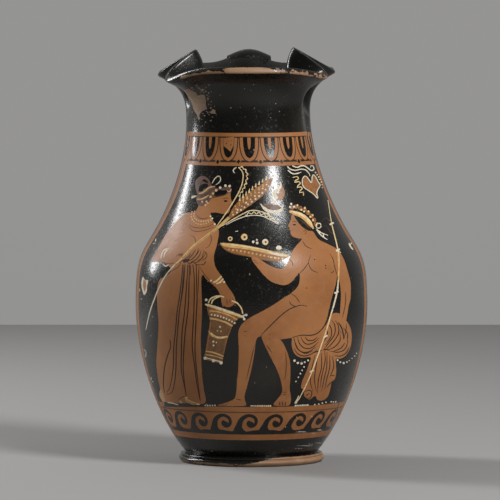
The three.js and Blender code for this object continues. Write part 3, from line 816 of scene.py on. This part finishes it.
for x, y in ((292, 207.4), (296, 206.6), (300.2, 208), (304.4, 209.6), (308, 212.6), (311.4, 215.8),
            (314, 219.8), (316, 224)):
    dots(wash, 2.3, (x, y))
    stroke(umber, [(x - 1.2, y + 1), (x - 0.6, y - 1), (x + 1.2, y - 0.4)], 0.5)
stroke(yellow, [(289.4, 211), (294, 212.8), (299.4, 214.4), (304.4, 217.4), (308.8, 221.8),
            (313.6, 228.6)], 4.6, 0.5, 0.35)
stroke(pale, [(291, 210.8), (295, 212), (300, 213.8), (304.8, 216.6), (309, 220.8), (313, 226.8)],
       2.5, 0.5, 0.4)
dots(cream, 1.15, (291.2, 203.8), (290.2, 206.8), (294.2, 206.6))
dots(pale, 1.0, (301.4, 209.8), (304.8, 207.8), (304.2, 211.4), (310.4, 216.6), (313.2, 219.8),
     (312.6, 215), (297.4, 205.2), (308.4, 211.2))
ring = [(318.6 + 2.5 * math.cos(a), 225.6 + 2.6 * math.sin(a)) for a in np.linspace(0, 6.0, 12)]
stroke(cream, ring, 0.95)
strokes(cream, 1.0, [(316, 228.6), (320.6, 232.2), (324.6, 234), (328, 235.4)],
        [(316.6, 230), (321, 235), (326, 238.8), (327.6, 239.4)], [(319, 231), (320, 234)],
        [(323, 233.6), (324, 237)])
strokes(umber, 0.5, [(321.4, 222), (325.6, 217.8), (329.4, 220.6), (331.6, 226.6), (332.6, 233),
            (329.8, 231.4), (327.4, 227), (323, 224.6)])
# lines of the body
strokes(line, 0.75, [(310.8, 255), (308.6, 263), (312, 270), (318.4, 272.7)],
        [(330, 253.6), (333, 259), (334.6, 266), (337.2, 275.6)],
        [(337.6, 276), (337.4, 284), (336, 290)], [(334, 270.4), (332.4, 272.6), (331, 273)],
        [(291, 293.6), (296, 297), (300, 303)], [(309, 262), (304, 269), (299.6, 273.4)],
        [(288.8, 258.6), (292, 262), (293, 266)], [(244, 331.6), (247, 331.4)],
        [(243.8, 335.6), (245.6, 336.4)], [(268.4, 334), (270.6, 335.2)],
        [(269, 338.6), (270.6, 339.4)], [(254.6, 345), (250.6, 362), (246.4, 380)],
        [(266.4, 345), (272, 353)], [(285.6, 352), (286.4, 365), (285, 380)],
        [(345.6, 292), (345.6, 303), (342.6, 318)], [(236.2, 399.4), (241, 400.6)],
        [(283, 392.8), (287, 392.4)], [(283, 395.2), (286.6, 394.9)],
        [(302.6, 241), (306, 246), (312, 249)])
strokes(line, 1.1, [(307.3, 306.4), (301.2, 305.3), (295.1, 306.8), (286.9, 310.9), (278.8, 317.6),
            (270.6, 325.7), (262.4, 333.9), (260.9, 336.9)],
        [(292, 337.6), (301.2, 335.4), (311.4, 335.4), (317.6, 333.2), (322.7, 328.4),
         (326.2, 322.4), (327.8, 317.4), (329.4, 309)])
strokes(line, 0.9, [(238.6, 345), (238, 362), (237.4, 379)],
        [(296.4, 307), (291, 304.4), (289.6, 300.8)], start=0.4, end=0.4)
for k in range(3):
    stroke(line, [(280.2 + 2.9 * k, 405.8), (279.4 + 2.9 * k, 403.6), (280.2 + 2.9 * k, 401.9)],
           0.95, 0.7, 0.5)
    stroke(line, [(220.6 + 2.2 * k, 406.2), (221.8 + 2.2 * k, 404.8)], 0.45)
dots(gloss, 0.6, (325.6, 265.4), (325.8, 268), (314.6, 259.4), (306.6, 288))
strokes(line, 0.5, [(252.6, 259.4), (256.6, 261.4)], [(254.4, 262.4), (258.4, 263.4)],
        [(338.6, 331), (339.4, 335.4)], [(340.6, 331), (341.4, 335)])
# folds of the cloth
strokes(line, 1.0, [(293.6, 337), (297, 348), (303, 352.4), (309.6, 351.6), (316, 347)],
        [(301, 337), (303.4, 342), (307.4, 344.4), (313.4, 343), (319.4, 338)],
        [(297.4, 337), (299.8, 344), (305, 348.4), (312.2, 347.8), (318.6, 342)],
        [(294, 348.6), (298.2, 354.2), (304.4, 356.2), (311.4, 354.2), (317.4, 350)],
        [(294.6, 341), (298.2, 349.2), (305.2, 353.6), (313, 351.2)],
        [(305.2, 337), (307.8, 340.4), (313.4, 340.4), (317.4, 337)],
        [(331.6, 320.4), (334.8, 325), (334.8, 334), (328.8, 343), (323.6, 350.2)],
        [(335.6, 320.6), (338.4, 326), (338.4, 334), (331.8, 344), (324.8, 350.6)],
        [(340.4, 335), (340, 341), (334.8, 347), (327.8, 350.4)],
        [(348.4, 341), (345, 349.4), (338, 352.4), (329.8, 351.2)],
        [(349.6, 347), (346, 353.4), (340, 356.4), (335, 355.4)],
        [(345, 343), (341, 348.4), (333.8, 351.4)], [(328, 323), (331, 328), (331.4, 336),
            (325.6, 345)], [(325.6, 328), (327.6, 334), (324, 342)],
        [(343.6, 328), (347.6, 334), (347.4, 342)], start=0.5, end=0.4)
stroke(gloss, [(338.4, 322.6), (341.6, 327.6), (343.4, 334), (343.8, 339.8)], 1.3, 0.6, 0.4)
stroke(line, [(346.6, 324), (346, 331), (344.2, 339)], 0.8, 0.6, 0.5)
strokes(line, 0.95, [(315, 355.3), (311.4, 372), (310.4, 382), (313, 392)],
        [(318, 353.3), (316, 367.6), (314.6, 380), (316.6, 392)],
        [(321.6, 353.3), (321.6, 367.6), (318.6, 380), (317.6, 394)],
        [(324.8, 351.3), (325.2, 361.4), (321.6, 378), (320.6, 388)],
        [(327.2, 352.3), (326.8, 367.6), (324.8, 376.8), (321.6, 392)],
        [(329.8, 355.4), (329.8, 367.6), (326.8, 380), (324.8, 390)],
        [(332.4, 356.4), (333.8, 367), (329.8, 378)], [(330.8, 375.8), (335, 375.8)],
        [(335.8, 379.6), (330, 384), (326.6, 388)], [(304.8, 392), (309.4, 390.6), (312, 393),
            (310.4, 398.2), (306.6, 398.4)], [(306, 396.6), (309.6, 393.4)], start=0.5, end=0.4)
strokes(line, 1.2, [(323, 350.4), (326, 349.6), (329.8, 350.4)],
        [(313, 353), (318, 351.6), (322, 350.6)])
# his staff, knotted, and the long strings of white drops
stroke(pale, [(328, 200), (331.8, 223.6), (338, 250), (339, 268), (337, 292), (331, 315),
            (325, 335), (312, 372), (302, 394), (296, 404)], 1.3, 0.5, 0.7)
stroke(yellow, [(338, 250), (339, 268), (338, 283)], 1.4, 0.5, 0.5)
for x, y in ((331.8, 223.6), (338, 250), (336.6, 292.4), (325.8, 336.6), (312, 371.6)):
    dots(cream, 0.95, (x - 1.3, y + 0.5), (x, y), (x + 1.2, y - 0.7))
stroke(cream, [(338.2, 280), (337.2, 292), (331.4, 314.6)], 1.5, 0.4, 0.4)
stroke(cream, [(338, 250.4), (341, 252.6)], 0.9, 0.5, 0.5)
dots(cream, 1.25, (294.6, 360.9), (297.9, 363.2), (301.7, 363.7))
dots(cream, 0.95, (304.8, 362.4), (308.2, 360.6), (337.7, 360.4), (340.5, 362.4))
dots(cream, 1.15, (343.9, 363.3))
dots(cream, 0.8, (304.1, 367.2), (302.2, 370.6), (300.5, 373.9), (298.5, 377.6), (296, 381.8),
     (347.1, 362.2))
dots(cream, 0.55, (349.4, 360.9), (352.2, 358.6), (354.8, 356.3), (356.8, 353.5))
beads(cream, 0.65, [(251.2, 406.3), (256.8, 406.4)], 5, 0.15, 6)
beads(pale, 0.95, [(258, 406.4), (270.5, 406.4)], 7, 0.15, 2)
beads(cream, 0.85, [(295.6, 406.1), (307.9, 405.5)], 8, 0.15, 7)
dots(cream, 0.75, (315, 405.1), (319, 404.5), (322.6, 403.5), (326.2, 402.8), (331.4, 402.2),
     (333.6, 402.4), (336, 402.2))
stroke(cream, [(167.4, 402.8), (172, 403.6), (178, 405.2)], 0.9)
beads(cream, 0.75, [(205.1, 405.9), (214.8, 405.8)], 5, 0.15, 10)
stroke(cream, [(299, 396), (297, 400.4), (294.8, 404)], 1.2, 0.5, 0.8)

# Losses, where the gloss has flaked off and dull or pale clay shows: one broad patch on the neck
# with chips round it, and small ones all over.


def flakes(paint, sides, third, fifth, places):
    """Small jagged flakes; each place is x, y, half its width and half its height."""
    turns = np.arange(sides) * 2 * math.pi / sides
    for x, y, w, h in places:
        jag = 1 + third * np.sin(turns * 3 + x) + fifth * np.sin(turns * 5 + y)
        coat(paint, lay(np.stack([x + w * jag * np.cos(turns), y + h * jag * np.sin(turns)], -1)))


flat_fill(bared, [(183.6, 83.6), (188, 84.6), (191.4, 84.2), (194, 87), (197.4, 90.4),
            (198.6, 94.2), (202, 93.4), (205.3, 94.1), (206.5, 100.2), (205.8, 104), (207.1, 108.7),
            (203.5, 110.5), (200.5, 112.3), (199.2, 116), (200.5, 118.6), (198.4, 119.6),
            (196.8, 114.7), (193.8, 109.9), (191.4, 100.2), (187.7, 90.5)])
flakes(bared, 10, 0.3, 0.2, ((203.4, 88.8, 1.9, 1.3), (200.6, 86.2, 1, 0.8),
            (208.3, 98.4, 0.9, 1.7), (213, 111.8, 3.0, 2.2), (210.8, 107.9, 1, 0.7),
            (210.8, 120.5, 0.8, 0.6), (209.4, 92.6, 0.8, 0.9), (194.4, 84, 1.3, 0.5),
            (204.6, 115.6, 0.9, 0.7), (206.4, 90.8, 1.1, 0.5), (209.8, 84.4, 0.7, 0.5),
            (198.6, 82.6, 0.9, 0.4), (211.4, 101.6, 0.6, 0.5), (207.8, 112.6, 0.6, 0.9),
            (205.6, 122, 0.8, 0.5), (214.6, 106.4, 0.5, 0.5), (202.4, 126, 0.6, 0.5),
            (187.2, 99.6, 0.5, 0.9), (191.8, 112, 0.5, 0.8), (216.4, 114.8, 0.5, 0.4),
            (195.4, 86.2, 0.6, 0.5), (199.2, 84.4, 0.6, 0.5), (204.2, 91.6, 0.7, 0.6),
            (201.4, 91, 0.6, 0.5), (207.6, 94.6, 0.6, 0.7), (209.8, 95.8, 0.5, 0.5),
            (207, 86.6, 0.6, 0.5), (211.8, 91.6, 0.5, 0.4), (208.8, 104.2, 0.6, 0.6),
            (211.2, 105, 0.5, 0.4), (206.6, 111.2, 0.6, 0.5), (203, 113.4, 0.6, 0.5),
            (209.2, 114.8, 0.7, 0.4), (212.6, 117, 0.5, 0.5), (201.8, 119.4, 0.5, 0.5),
            (220.4, 94.8, 0.5, 0.4), (244.6, 88.6, 0.5, 0.4), (253.4, 84.6, 0.4, 0.5),
            (275.6, 103.6, 0.5, 0.5), (279.4, 111.4, 0.5, 0.5), (306, 117.4, 0.6, 0.7)))
fill(worn, [(160.2, 389.6), (162.2, 393), (164.3, 398.2), (164.8, 402), (163, 402.6),
            (160.7, 399.2), (159.2, 395.1)])
strokes(cream, 1.1, [(155.8, 238.6), (155.2, 241.6)], [(152.8, 243.8), (155.2, 242.8)],
        [(150.8, 377.4), (151, 380)], [(151.6, 382), (153.2, 382.2)])
strokes(cream, 1.3, [(349, 242.8), (350.6, 246.4), (353.4, 249.8)], [(351.6, 242.6), (350.4, 245)])
stroke(scuffed, [(143.4, 349), (145.6, 352.4), (145.4, 357.3)], 1.3, 0.5, 0.8)
fill(cream, [(142.8, 276.6), (144.6, 279.6), (148, 280.4), (147, 286), (146.6, 291.6), (144, 295),
            (142.2, 290.6), (141.2, 283)])
fill(clay, [(143.4, 279.6), (145.8, 281.6), (145.8, 287.6), (144.4, 291.6), (143, 287)])
flakes(worn, 9, 0.28, 0.18, ((139.4, 290, 0.6, 1.6), (141.2, 299, 0.8, 0.7), (297, 418, 0.6, 0.9),
            (312, 417, 0.9, 0.8), (232, 458.4, 4, 0.4), (246, 461.4, 4.6, 0.35),
            (285.6, 427.4, 0.6, 0.6)))
flakes(scuffed, 9, 0.28, 0.18, ((318.8, 443.6, 3.6, 0.4), (306, 446.4, 8.4, 0.4),
            (298, 449.2, 4.4, 0.35), (311, 444.8, 3, 0.3), (301.6, 432.4, 5.4, 0.6),
            (320, 430.6, 2.6, 0.7), (313.4, 434, 2.2, 0.5)))


# The wall's mesh: the front is cut along the drawn outlines and the rest is plain rows, and the
# corners' normals are those of the thrown form, so that the seams between the colours don't show.
round_steps = 288
side_crowding = 0.225  # gathers the columns towards the pinched sides
# the drawn front begins above the foot and ends past the side strips
panel_start, panel_reach = 0.08, 84.5 * degrees
even = (np.arange(round_steps) + 0.5) * 2 * math.pi / round_steps - math.pi
angles = even + side_crowding * np.sin(2 * even)
rows = np.concatenate([np.linspace(0, 1, 34)[:-1], np.linspace(1, 2, 20)[:-1],
                       np.linspace(2, 3, 28)[:-1], np.linspace(3, 4, 29)])
first_row, last_row = np.searchsorted(rows, panel_start), len(rows) - 1
columns = np.flatnonzero(np.abs(angles) < panel_reach)
first_column, last_column = columns[0], columns[-1]

points, normals, wears, faces, paints = [], [], [], [], []


def add_grid(grid_points, grid_normals, paint_of, skip=None, wear=None):
    """Rows of points closed round the jug; paint_of gives each row of faces its paint."""
    start = sum(len(p) for p in points)
    count, across = grid_points.shape[:2]
    points.append(grid_points.reshape(-1, 3))
    normals.append(grid_normals.reshape(-1, 3))
    wears.append(np.zeros(count * across) if wear is None else np.asarray(wear, float).reshape(-1))
    for i in range(count - 1):
        for j in range(across):
            if skip and skip(i, j):
                continue
            k = (j + 1) % across
            faces.append((start + i * across + j, start + i * across + k,
                          start + (i + 1) * across + k, start + (i + 1) * across + j))
            paints.append(paint_of(i))


def set_wear(mesh, values):
    """How far the gloss is rubbed off at each corner, from 0 to 1."""
    mesh.attributes.new("wear", "FLOAT", "POINT").data.foreach_set("value", values)


def leaning(point_at):
    return lambda angle, station: lean(point_at(angle, station))


outer_face = leaning(outer_point)
inner_face = leaning(lambda angle, station: wall_point(angle, station, 1.0))
turns, ups = np.meshgrid(angles, rows)
paint_list = [gloss, clay, cream, yellow, pale, peach, wash, brown, umber, hair, line, bared, worn,
              scuffed]
add_grid(outer_face(turns, ups), outward(outer_face, turns, ups), lambda i: 0,
         lambda i, j: first_row <= i < last_row and first_column <= j < last_column)

# front panel on the flat pattern
sector_rows, sector_angles = rows[first_row:last_row + 1], angles[first_column:last_column + 1]
sector_lengths = np.interp(sector_rows, stations_up, lengths_up)
grid_turns, grid_lengths = np.meshgrid(sector_angles * turn_unit, sector_lengths)
pattern = [Vector(p) for p in np.stack([grid_turns, grid_lengths], -1).reshape(-1, 2)]
outlines = []
for _, outline in painted:
    outlines.append(list(range(len(pattern), len(pattern) + len(outline))))
    pattern.extend(Vector(p) for p in outline)
cut, _, cut_faces, _, _, came_from = delaunay_2d_cdt(pattern, [], outlines, 0, 1e-5, True)
flat = np.array([tuple(v) for v in cut])
flat_angle, flat_station = flat[:, 0] / turn_unit, np.interp(flat[:, 1], lengths_up, stations_up)
start = sum(len(p) for p in points)
points.append(outer_face(flat_angle, flat_station))
normals.append(outward(outer_face, flat_angle, flat_station))
wears.append(0 * flat_angle)
lowest = np.array([np.min(outline, axis=0) for _, outline in painted])
highest = np.array([np.max(outline, axis=0) for _, outline in painted])
for face, sources in zip(cut_faces, came_from):
    middle = flat[list(face)].mean(0)
    within = [i for i in sources if (lowest[i] <= middle).all() and (middle <= highest[i]).all()]
    faces.append(tuple(start + i for i in face))
    paints.append(paint_list.index(painted[max(within)][0]) if within else 0)

# lip, rounded over from the outer to the inner face; its front edge is rubbed down to the clay
over = np.linspace(0, math.pi, 11)
just_below_edge = 3.999
# the height of the rounding as a share of half the wall, and the power that squares it off
crown_rise, square = 0.8, 0.62
least_wear = 0.24
edge_out, edge_in = outer_point(angles, 4.0), wall_point(angles, 4.0)
middle, half = (edge_out + edge_in) / 2, (edge_out - edge_in) / 2
upwards = unit(edge_out - outer_point(angles, just_below_edge)) * (lip_wall / 2) * crown_rise
crown, crown_normals = [], []
for t in over:
    c, d = math.cos(t), math.sin(t)
    c2, d2 = math.copysign(abs(c) ** square, c), abs(d) ** square
    crown.append(lean(middle + half * c2 + upwards * d2))
    crown_normals.append(unit(half * crown_rise * math.copysign(abs(c) ** (2 - square), c)
                              + upwards / crown_rise * abs(d) ** (2 - square)))
# degrees round of the three worn stretches, then their strength on each row over the edge
turn = angles / degrees
full = smooth((turn + 30) / 26) * smooth((30 - turn) / 22)
lower = smooth((turn + 68) / 26) * smooth((-4 - turn) / 16)
broken = smooth((turn - 4) / 12) * smooth((80 - turn) / 10)
shares = ((0.3, 0.55, 0.42), (0.95, 0.72, 0.5), (1, 0.72, 0.56), (1, 0.66, 0.54), (1, 0.5, 0.5),
          (1, 0.36, 0.48),
          (0.8, 0.2, 0.46), (0.55, 0.1, 0.4), (0.3, 0, 0.3), (0.1, 0, 0.2), (0, 0, 0))
crown_wear = np.array([np.maximum(np.maximum(full * a, lower * b), broken * c) for a, b,
                       c in shares])
crown_wear = np.maximum(crown_wear, least_wear)
add_grid(np.array(crown), np.array(crown_normals), lambda i: 0, wear=crown_wear)

# inside of the wall and the floor, which ends in a pin hole round the axis
floor_station, floor_reach = 0.22, 0.985
inner_rows = rows[rows >= floor_station][::-1]
turns, ups = np.meshgrid(angles, inner_rows)
add_grid(inner_face(turns, ups), -outward(inner_face, turns, ups), lambda i: 0)
floor_height = foot_recess + floor_thickness
low = wall_point(np.zeros(1), inner_rows[-1:])[0]
low_radius = -low[1]
ring_inner = rest_radius - ring_width
floor_curve = ((low_radius, low[2]),
               (mix(low_radius, ring_inner, 0.8), floor_height + (low[2] - floor_height) * 0.1),
               (ring_inner * 0.6, floor_height), (0, floor_height))


def add_turned(radii, heights, up_side, paint_of, wear=None):
    """Rows turned about the axis, with normals from the profile."""
    radii, heights = np.asarray(radii, float), np.asarray(heights, float)
    slope = unit(np.stack([np.gradient(radii), np.gradient(heights)], -1))
    place = np.array([turned(angles, r, h) for r, h in zip(radii, heights)])
    facing = np.array([turned(angles, s[1] * up_side, -s[0] * up_side) for s in slope])
    add_grid(place, unit(facing), paint_of, wear=wear)


radii, heights = bezier(floor_curve, np.linspace(0, floor_reach, 14))
add_turned(radii, heights, 1, lambda i: 0)

# foot: recess, resting ring, clay edge, groove and black fillet up to the stem
foot_profile = [(0.8, foot_recess), (ring_inner - foot_recess, foot_recess),
                (ring_inner - 0.9, 0.7), (ring_inner, 0), (rest_radius, 0),
                (rest_radius + 1.6, 0.5), (foot_radius - 0.2, 1.6), (foot_radius, 2.5),
                (foot_radius - 0.5, 3.3), (foot_radius - 1.5, 3.6), (foot_radius - 1.6, 3.8),
                (foot_radius - 1.1, 4.3), (foot_radius - 1.3, 4.9), (foot_radius - 2.4, 5.3),
                (stem_radius + 0.6, 5.35), (stem_radius, foot_height)]
# wear all round, and stronger wear at the right from an angle on, for each row of the foot
worn_until = smooth((100 - turn) / 20)
foot_wear = np.array([np.maximum(evenly + 0 * turn, smooth((turn - begin) / 16) * worn_until * more)
                      for evenly, begin, more in
                      ((0, 0, 0), (0.45, -10, 0.45), (0.6, -20, 0.9), (0.62, -20, 0.9),
                       (0.6, -20, 0.9), (0.64, -18, 0.9), (0.6, -14, 0.95), (0.22, -6, 0.95),
                       (0.2, -2, 0.9), (0.2, 2, 0.9), (0.2, 2, 0.9), (0.2, 4, 0.9),
                       (0.22, 8, 0.75), (0.2, 14, 0.4), (0.1, 20, 0.2), (0.1, 20, 0.1))])
add_turned([p[0] for p in foot_profile], [p[1] for p in foot_profile], 1, lambda i: 0, foot_wear)

# corners in the same place, to a thousandth of a millimetre, become one
all_points, all_normals = np.vstack(points) * millimetre, np.vstack(normals)
wall_mesh = bpy.data.meshes.new("jug")
keys, place_of = {}, np.empty(len(all_points), int)
kept = []
for i, key in enumerate(map(tuple, np.round(all_points * 1e6).astype(int))):
    if key not in keys:
        keys[key] = len(kept)
        kept.append(i)
    place_of[i] = keys[key]
final_faces, final_paints = [], []
for face, paint in zip(faces, paints):
    ring = []
    for i in face:
        if place_of[i] not in ring:
            ring.append(int(place_of[i]))
    if len(ring) > 2:
        final_faces.append(ring)
        final_paints.append(paint)
wall_mesh.from_pydata(all_points[kept].tolist(), [], final_faces)
for paint in paint_list:
    wall_mesh.materials.append(paint)
wall_mesh.polygons.foreach_set("material_index", final_paints)
wall_mesh.polygons.foreach_set("use_smooth", [True] * len(final_faces))
wall_mesh.normals_split_custom_set_from_vertices(all_normals[kept].tolist())
set_wear(wall_mesh, np.concatenate(wears)[kept])
wall_mesh.update()
jug = placed("jug", wall_mesh)
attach(jug, "root")
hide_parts("oinochoe")


# The handle: one ridged strap of the same clay, drawn out by hand, luted on inside the back of the
# lip and on the shoulder, and widened by the thumb at both ends; black all over.
handle_width, root_width = 19, 25
outer_ridge, inner_swell = 4.6, 2.7
crest_width, crest_ridge, crest_share, crest_reach = 4.4, 2, 0.13, 0.12
handle_aside = -1.5
handle_top, handle_reach, root_height = 235.6, 65.9, 141
tongue_length, wrap_radius = 3.5, 44
tongue_width, tongue_thickness = 0.34, 0.25  # shares left at the ends
# shares of the strap's length
root_reach, wrap_reach, tongue_at_lip, tongue_at_shoulder = 0.25, 0.12, 0.16, 0.08


def station_at(height):
    return np.interp(height, heights_up[stations_up <= 3], stations_up[stations_up <= 3])


def back_point(station, share=0.0):
    return wall_point(np.full(1, math.pi), np.full(1, float(station)), share)[0]


crown_back = back_point(4, 0.5)
crest_height = handle_top - outer_ridge - crest_ridge
grip_height = mix(root_height, crest_height, 0.5)
back_most = handle_reach - outer_ridge
root = back_point(station_at(root_height))
# each middle knot is set by its share of the way from lip or root to the outermost point
knots = np.array([back_point(3.72, 0.5), crown_back,
                  (0, mix(crown_back[1], back_most, 0.36), crest_height),
                  (0, mix(crown_back[1], back_most, 0.86), mix(grip_height, crest_height, 0.74)),
                  (0, back_most, grip_height + 8),
                  (0, mix(root[1], back_most, 0.66), mix(root_height, grip_height, 0.42)),
                  root, back_point(station_at(root_height - tongue_length), 0.6)])


def evenly_paced_curve(p, count, between_knots=60):
    """Centripetal Catmull-Rom through the knots, at equal steps of length."""
    full = np.vstack([2 * p[0] - p[1], p, 2 * p[-1] - p[-2]])
    out = []
    for a, b, c, d in zip(full, full[1:], full[2:], full[3:]):
        first, second, third = (np.linalg.norm(y - x) ** 0.5 for x, y in ((a, b), (b, c), (c, d)))
        leave = ((b - a) / first - (c - a) / (first + second) + (c - b) / second) * second
        arrive = ((c - b) / second - (d - b) / (second + third) + (d - c) / third) * second
        t = np.linspace(0, 1, between_knots, endpoint=False)[:, None]
        out.append(b + leave * t + (-3 * b + 3 * c - 2 * leave - arrive) * t**2
                   + (2 * b - 2 * c + leave + arrive) * t**3)
    out = np.vstack(out + [p[-1][None]])
    gone = np.concatenate([[0], np.cumsum(np.linalg.norm(np.diff(out, axis=0), axis=1))])
    wanted = np.linspace(0, gone[-1], count)
    return np.stack([np.interp(wanted, gone, out[:, i]) for i in range(3)], -1)


strap_steps, section_steps = 110, 48
centre = evenly_paced_curve(knots, strap_steps)
forward = unit(np.gradient(centre, axis=0))
centre[:, 0] = handle_aside
share = np.linspace(0, 1, strap_steps)
near_lip = smooth(1 - share / root_reach)
near_shoulder = smooth((share - (1 - root_reach)) / root_reach)
tongue_share = smooth(share / tongue_at_lip) * smooth((1 - share) / tongue_at_shoulder)
lip_wrap = smooth(1 - share / wrap_reach)
crest = bell(share - crest_share, crest_reach)
strap_width = mix(handle_width, root_width, near_lip + near_shoulder) + crest_width * crest
strap_ridge = outer_ridge + crest_ridge * crest
outwards = -np.cross(forward, np.array([1.0, 0, 0]))
strap = []
for turn in -2 * math.pi * np.arange(section_steps) / section_steps:
    side = math.sin(turn)
    swell = strap_ridge * side**2.4 if side > 0 else -inner_swell * side**2
    aside = strap_width * mix(tongue_width, 0.5, np.sqrt(tongue_share)) * math.cos(turn)
    wrap = (lip_wrap - near_shoulder) * aside**2 / (2 * wrap_radius)
    lift = swell * mix(tongue_thickness, 1, tongue_share) + wrap
    strap.append(centre + np.stack([aside, 0 * aside, 0 * aside], -1) + outwards * lift[:, None])
strap = np.stack(strap, 1) * millimetre
strap_faces = [(i * section_steps + j, i * section_steps + (j + 1) % section_steps,
                (i + 1) * section_steps + (j + 1) % section_steps, (i + 1) * section_steps + j)
               for i in range(strap_steps - 1) for j in range(section_steps)]
last = (strap_steps - 1) * section_steps
strap_faces += [tuple(range(section_steps))[::-1], tuple(range(last, last + section_steps))]
handle_mesh = bpy.data.meshes.new("handle")
handle_mesh.from_pydata(strap.reshape(-1, 3).tolist(), [], strap_faces)
handle_mesh.materials.append(gloss)
handle_mesh.polygons.foreach_set("use_smooth", [True] * len(strap_faces))
edge_wear = np.abs(np.cos(2 * math.pi * np.arange(section_steps) / section_steps)) ** 6 * 0.3
set_wear(handle_mesh, np.tile(edge_wear, strap_steps))
handle_mesh.update()
handle = placed("handle", handle_mesh)
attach(handle, "root")
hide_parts("oinochoe")


# Floor, light and eye: a pale floor, soft light from the left and a little behind and from the
# upper right in front, and the eye straight in front, a little above the middle of the jug.
floor_half = 1.3
floor_mesh = bpy.data.meshes.new("floor")
corners = [(x * floor_half, y * floor_half, 0) for x, y in ((-1, -1), (1, -1), (1, 1), (-1, 1))]
floor_mesh.from_pydata(corners, [], [(0, 1, 2, 3)])
floor = placed("floor", floor_mesh)
floor_paint = bpy.data.materials.new("floor paint")
floor_paint.use_nodes = True
floor_shader = floor_paint.node_tree.nodes["Principled BSDF"]
floor_shader.inputs["Base Color"].default_value = (0.31, 0.304, 0.298, 1)
floor_shader.inputs["Roughness"].default_value = 0.85
floor_mesh.materials.append(floor_paint)

world = bpy.data.worlds.new("studio")
bpy.context.scene.world = world
world.use_nodes = True
tree = world.node_tree
towards = node(tree, "TexCoord").outputs["Generated"]
height_in_sky = node(tree, "VectorMath", {0: towards, 1: (0, 0.85, 0.53)},
                     operation="DOT_PRODUCT").outputs["Value"]
raised = node(tree, "MapRange", {"Value": height_in_sky, "From Min": -1}).outputs["Result"]
sky = node(tree, "ValToRGB", {"Fac": raised})
# dark behind the eye, pale behind the jug and above
for end, position, colour in ((0, 0.42, (0.045, 0.044, 0.043, 1)),
                              (1, 0.92, (0.30, 0.297, 0.29, 1))):
    sky.color_ramp.elements[end].position, sky.color_ramp.elements[end].color = position, colour
tree.links.new(sky.outputs["Color"], tree.nodes["Background"].inputs["Color"])


def softbox(name, place, aim, width, height, power, colour=(1, 1, 1)):
    lamp = bpy.data.lights.new(name, "AREA")
    lamp.shape, lamp.size, lamp.size_y = "RECTANGLE", width, height
    lamp.energy, lamp.color = power, colour
    held = placed(name, lamp)
    held.location = place
    held.rotation_euler = (Vector(aim) - Vector(place)).to_track_quat("-Z", "Y").to_euler()


softbox("left softbox", (-1.06, 0.56, 0.84), (0, 0, 0.14), 0.22, 1.3, 16)
softbox("key softbox", (0.98, -1.12, 1.2), (0, 0, 0.14), 0.4, 0.7, 30)
bpy.context.scene.view_settings.view_transform = "Standard"

lens = bpy.data.cameras.new("eye")
lens.lens, lens.sensor_width, lens.clip_end = 259.2, 36, 20
seen_from = placed("eye", lens)
picture_middle, eye_row, focal_rows = 250, 110, 3600  # rows of a picture 500 rows high
down = math.atan2(picture_middle - eye_row, focal_rows)
seen_from.location = (-0.00086, -2.052, 0.2001)
seen_from.rotation_euler = (math.pi / 2 - down, 0, 0)
bpy.context.scene.camera = seen_from
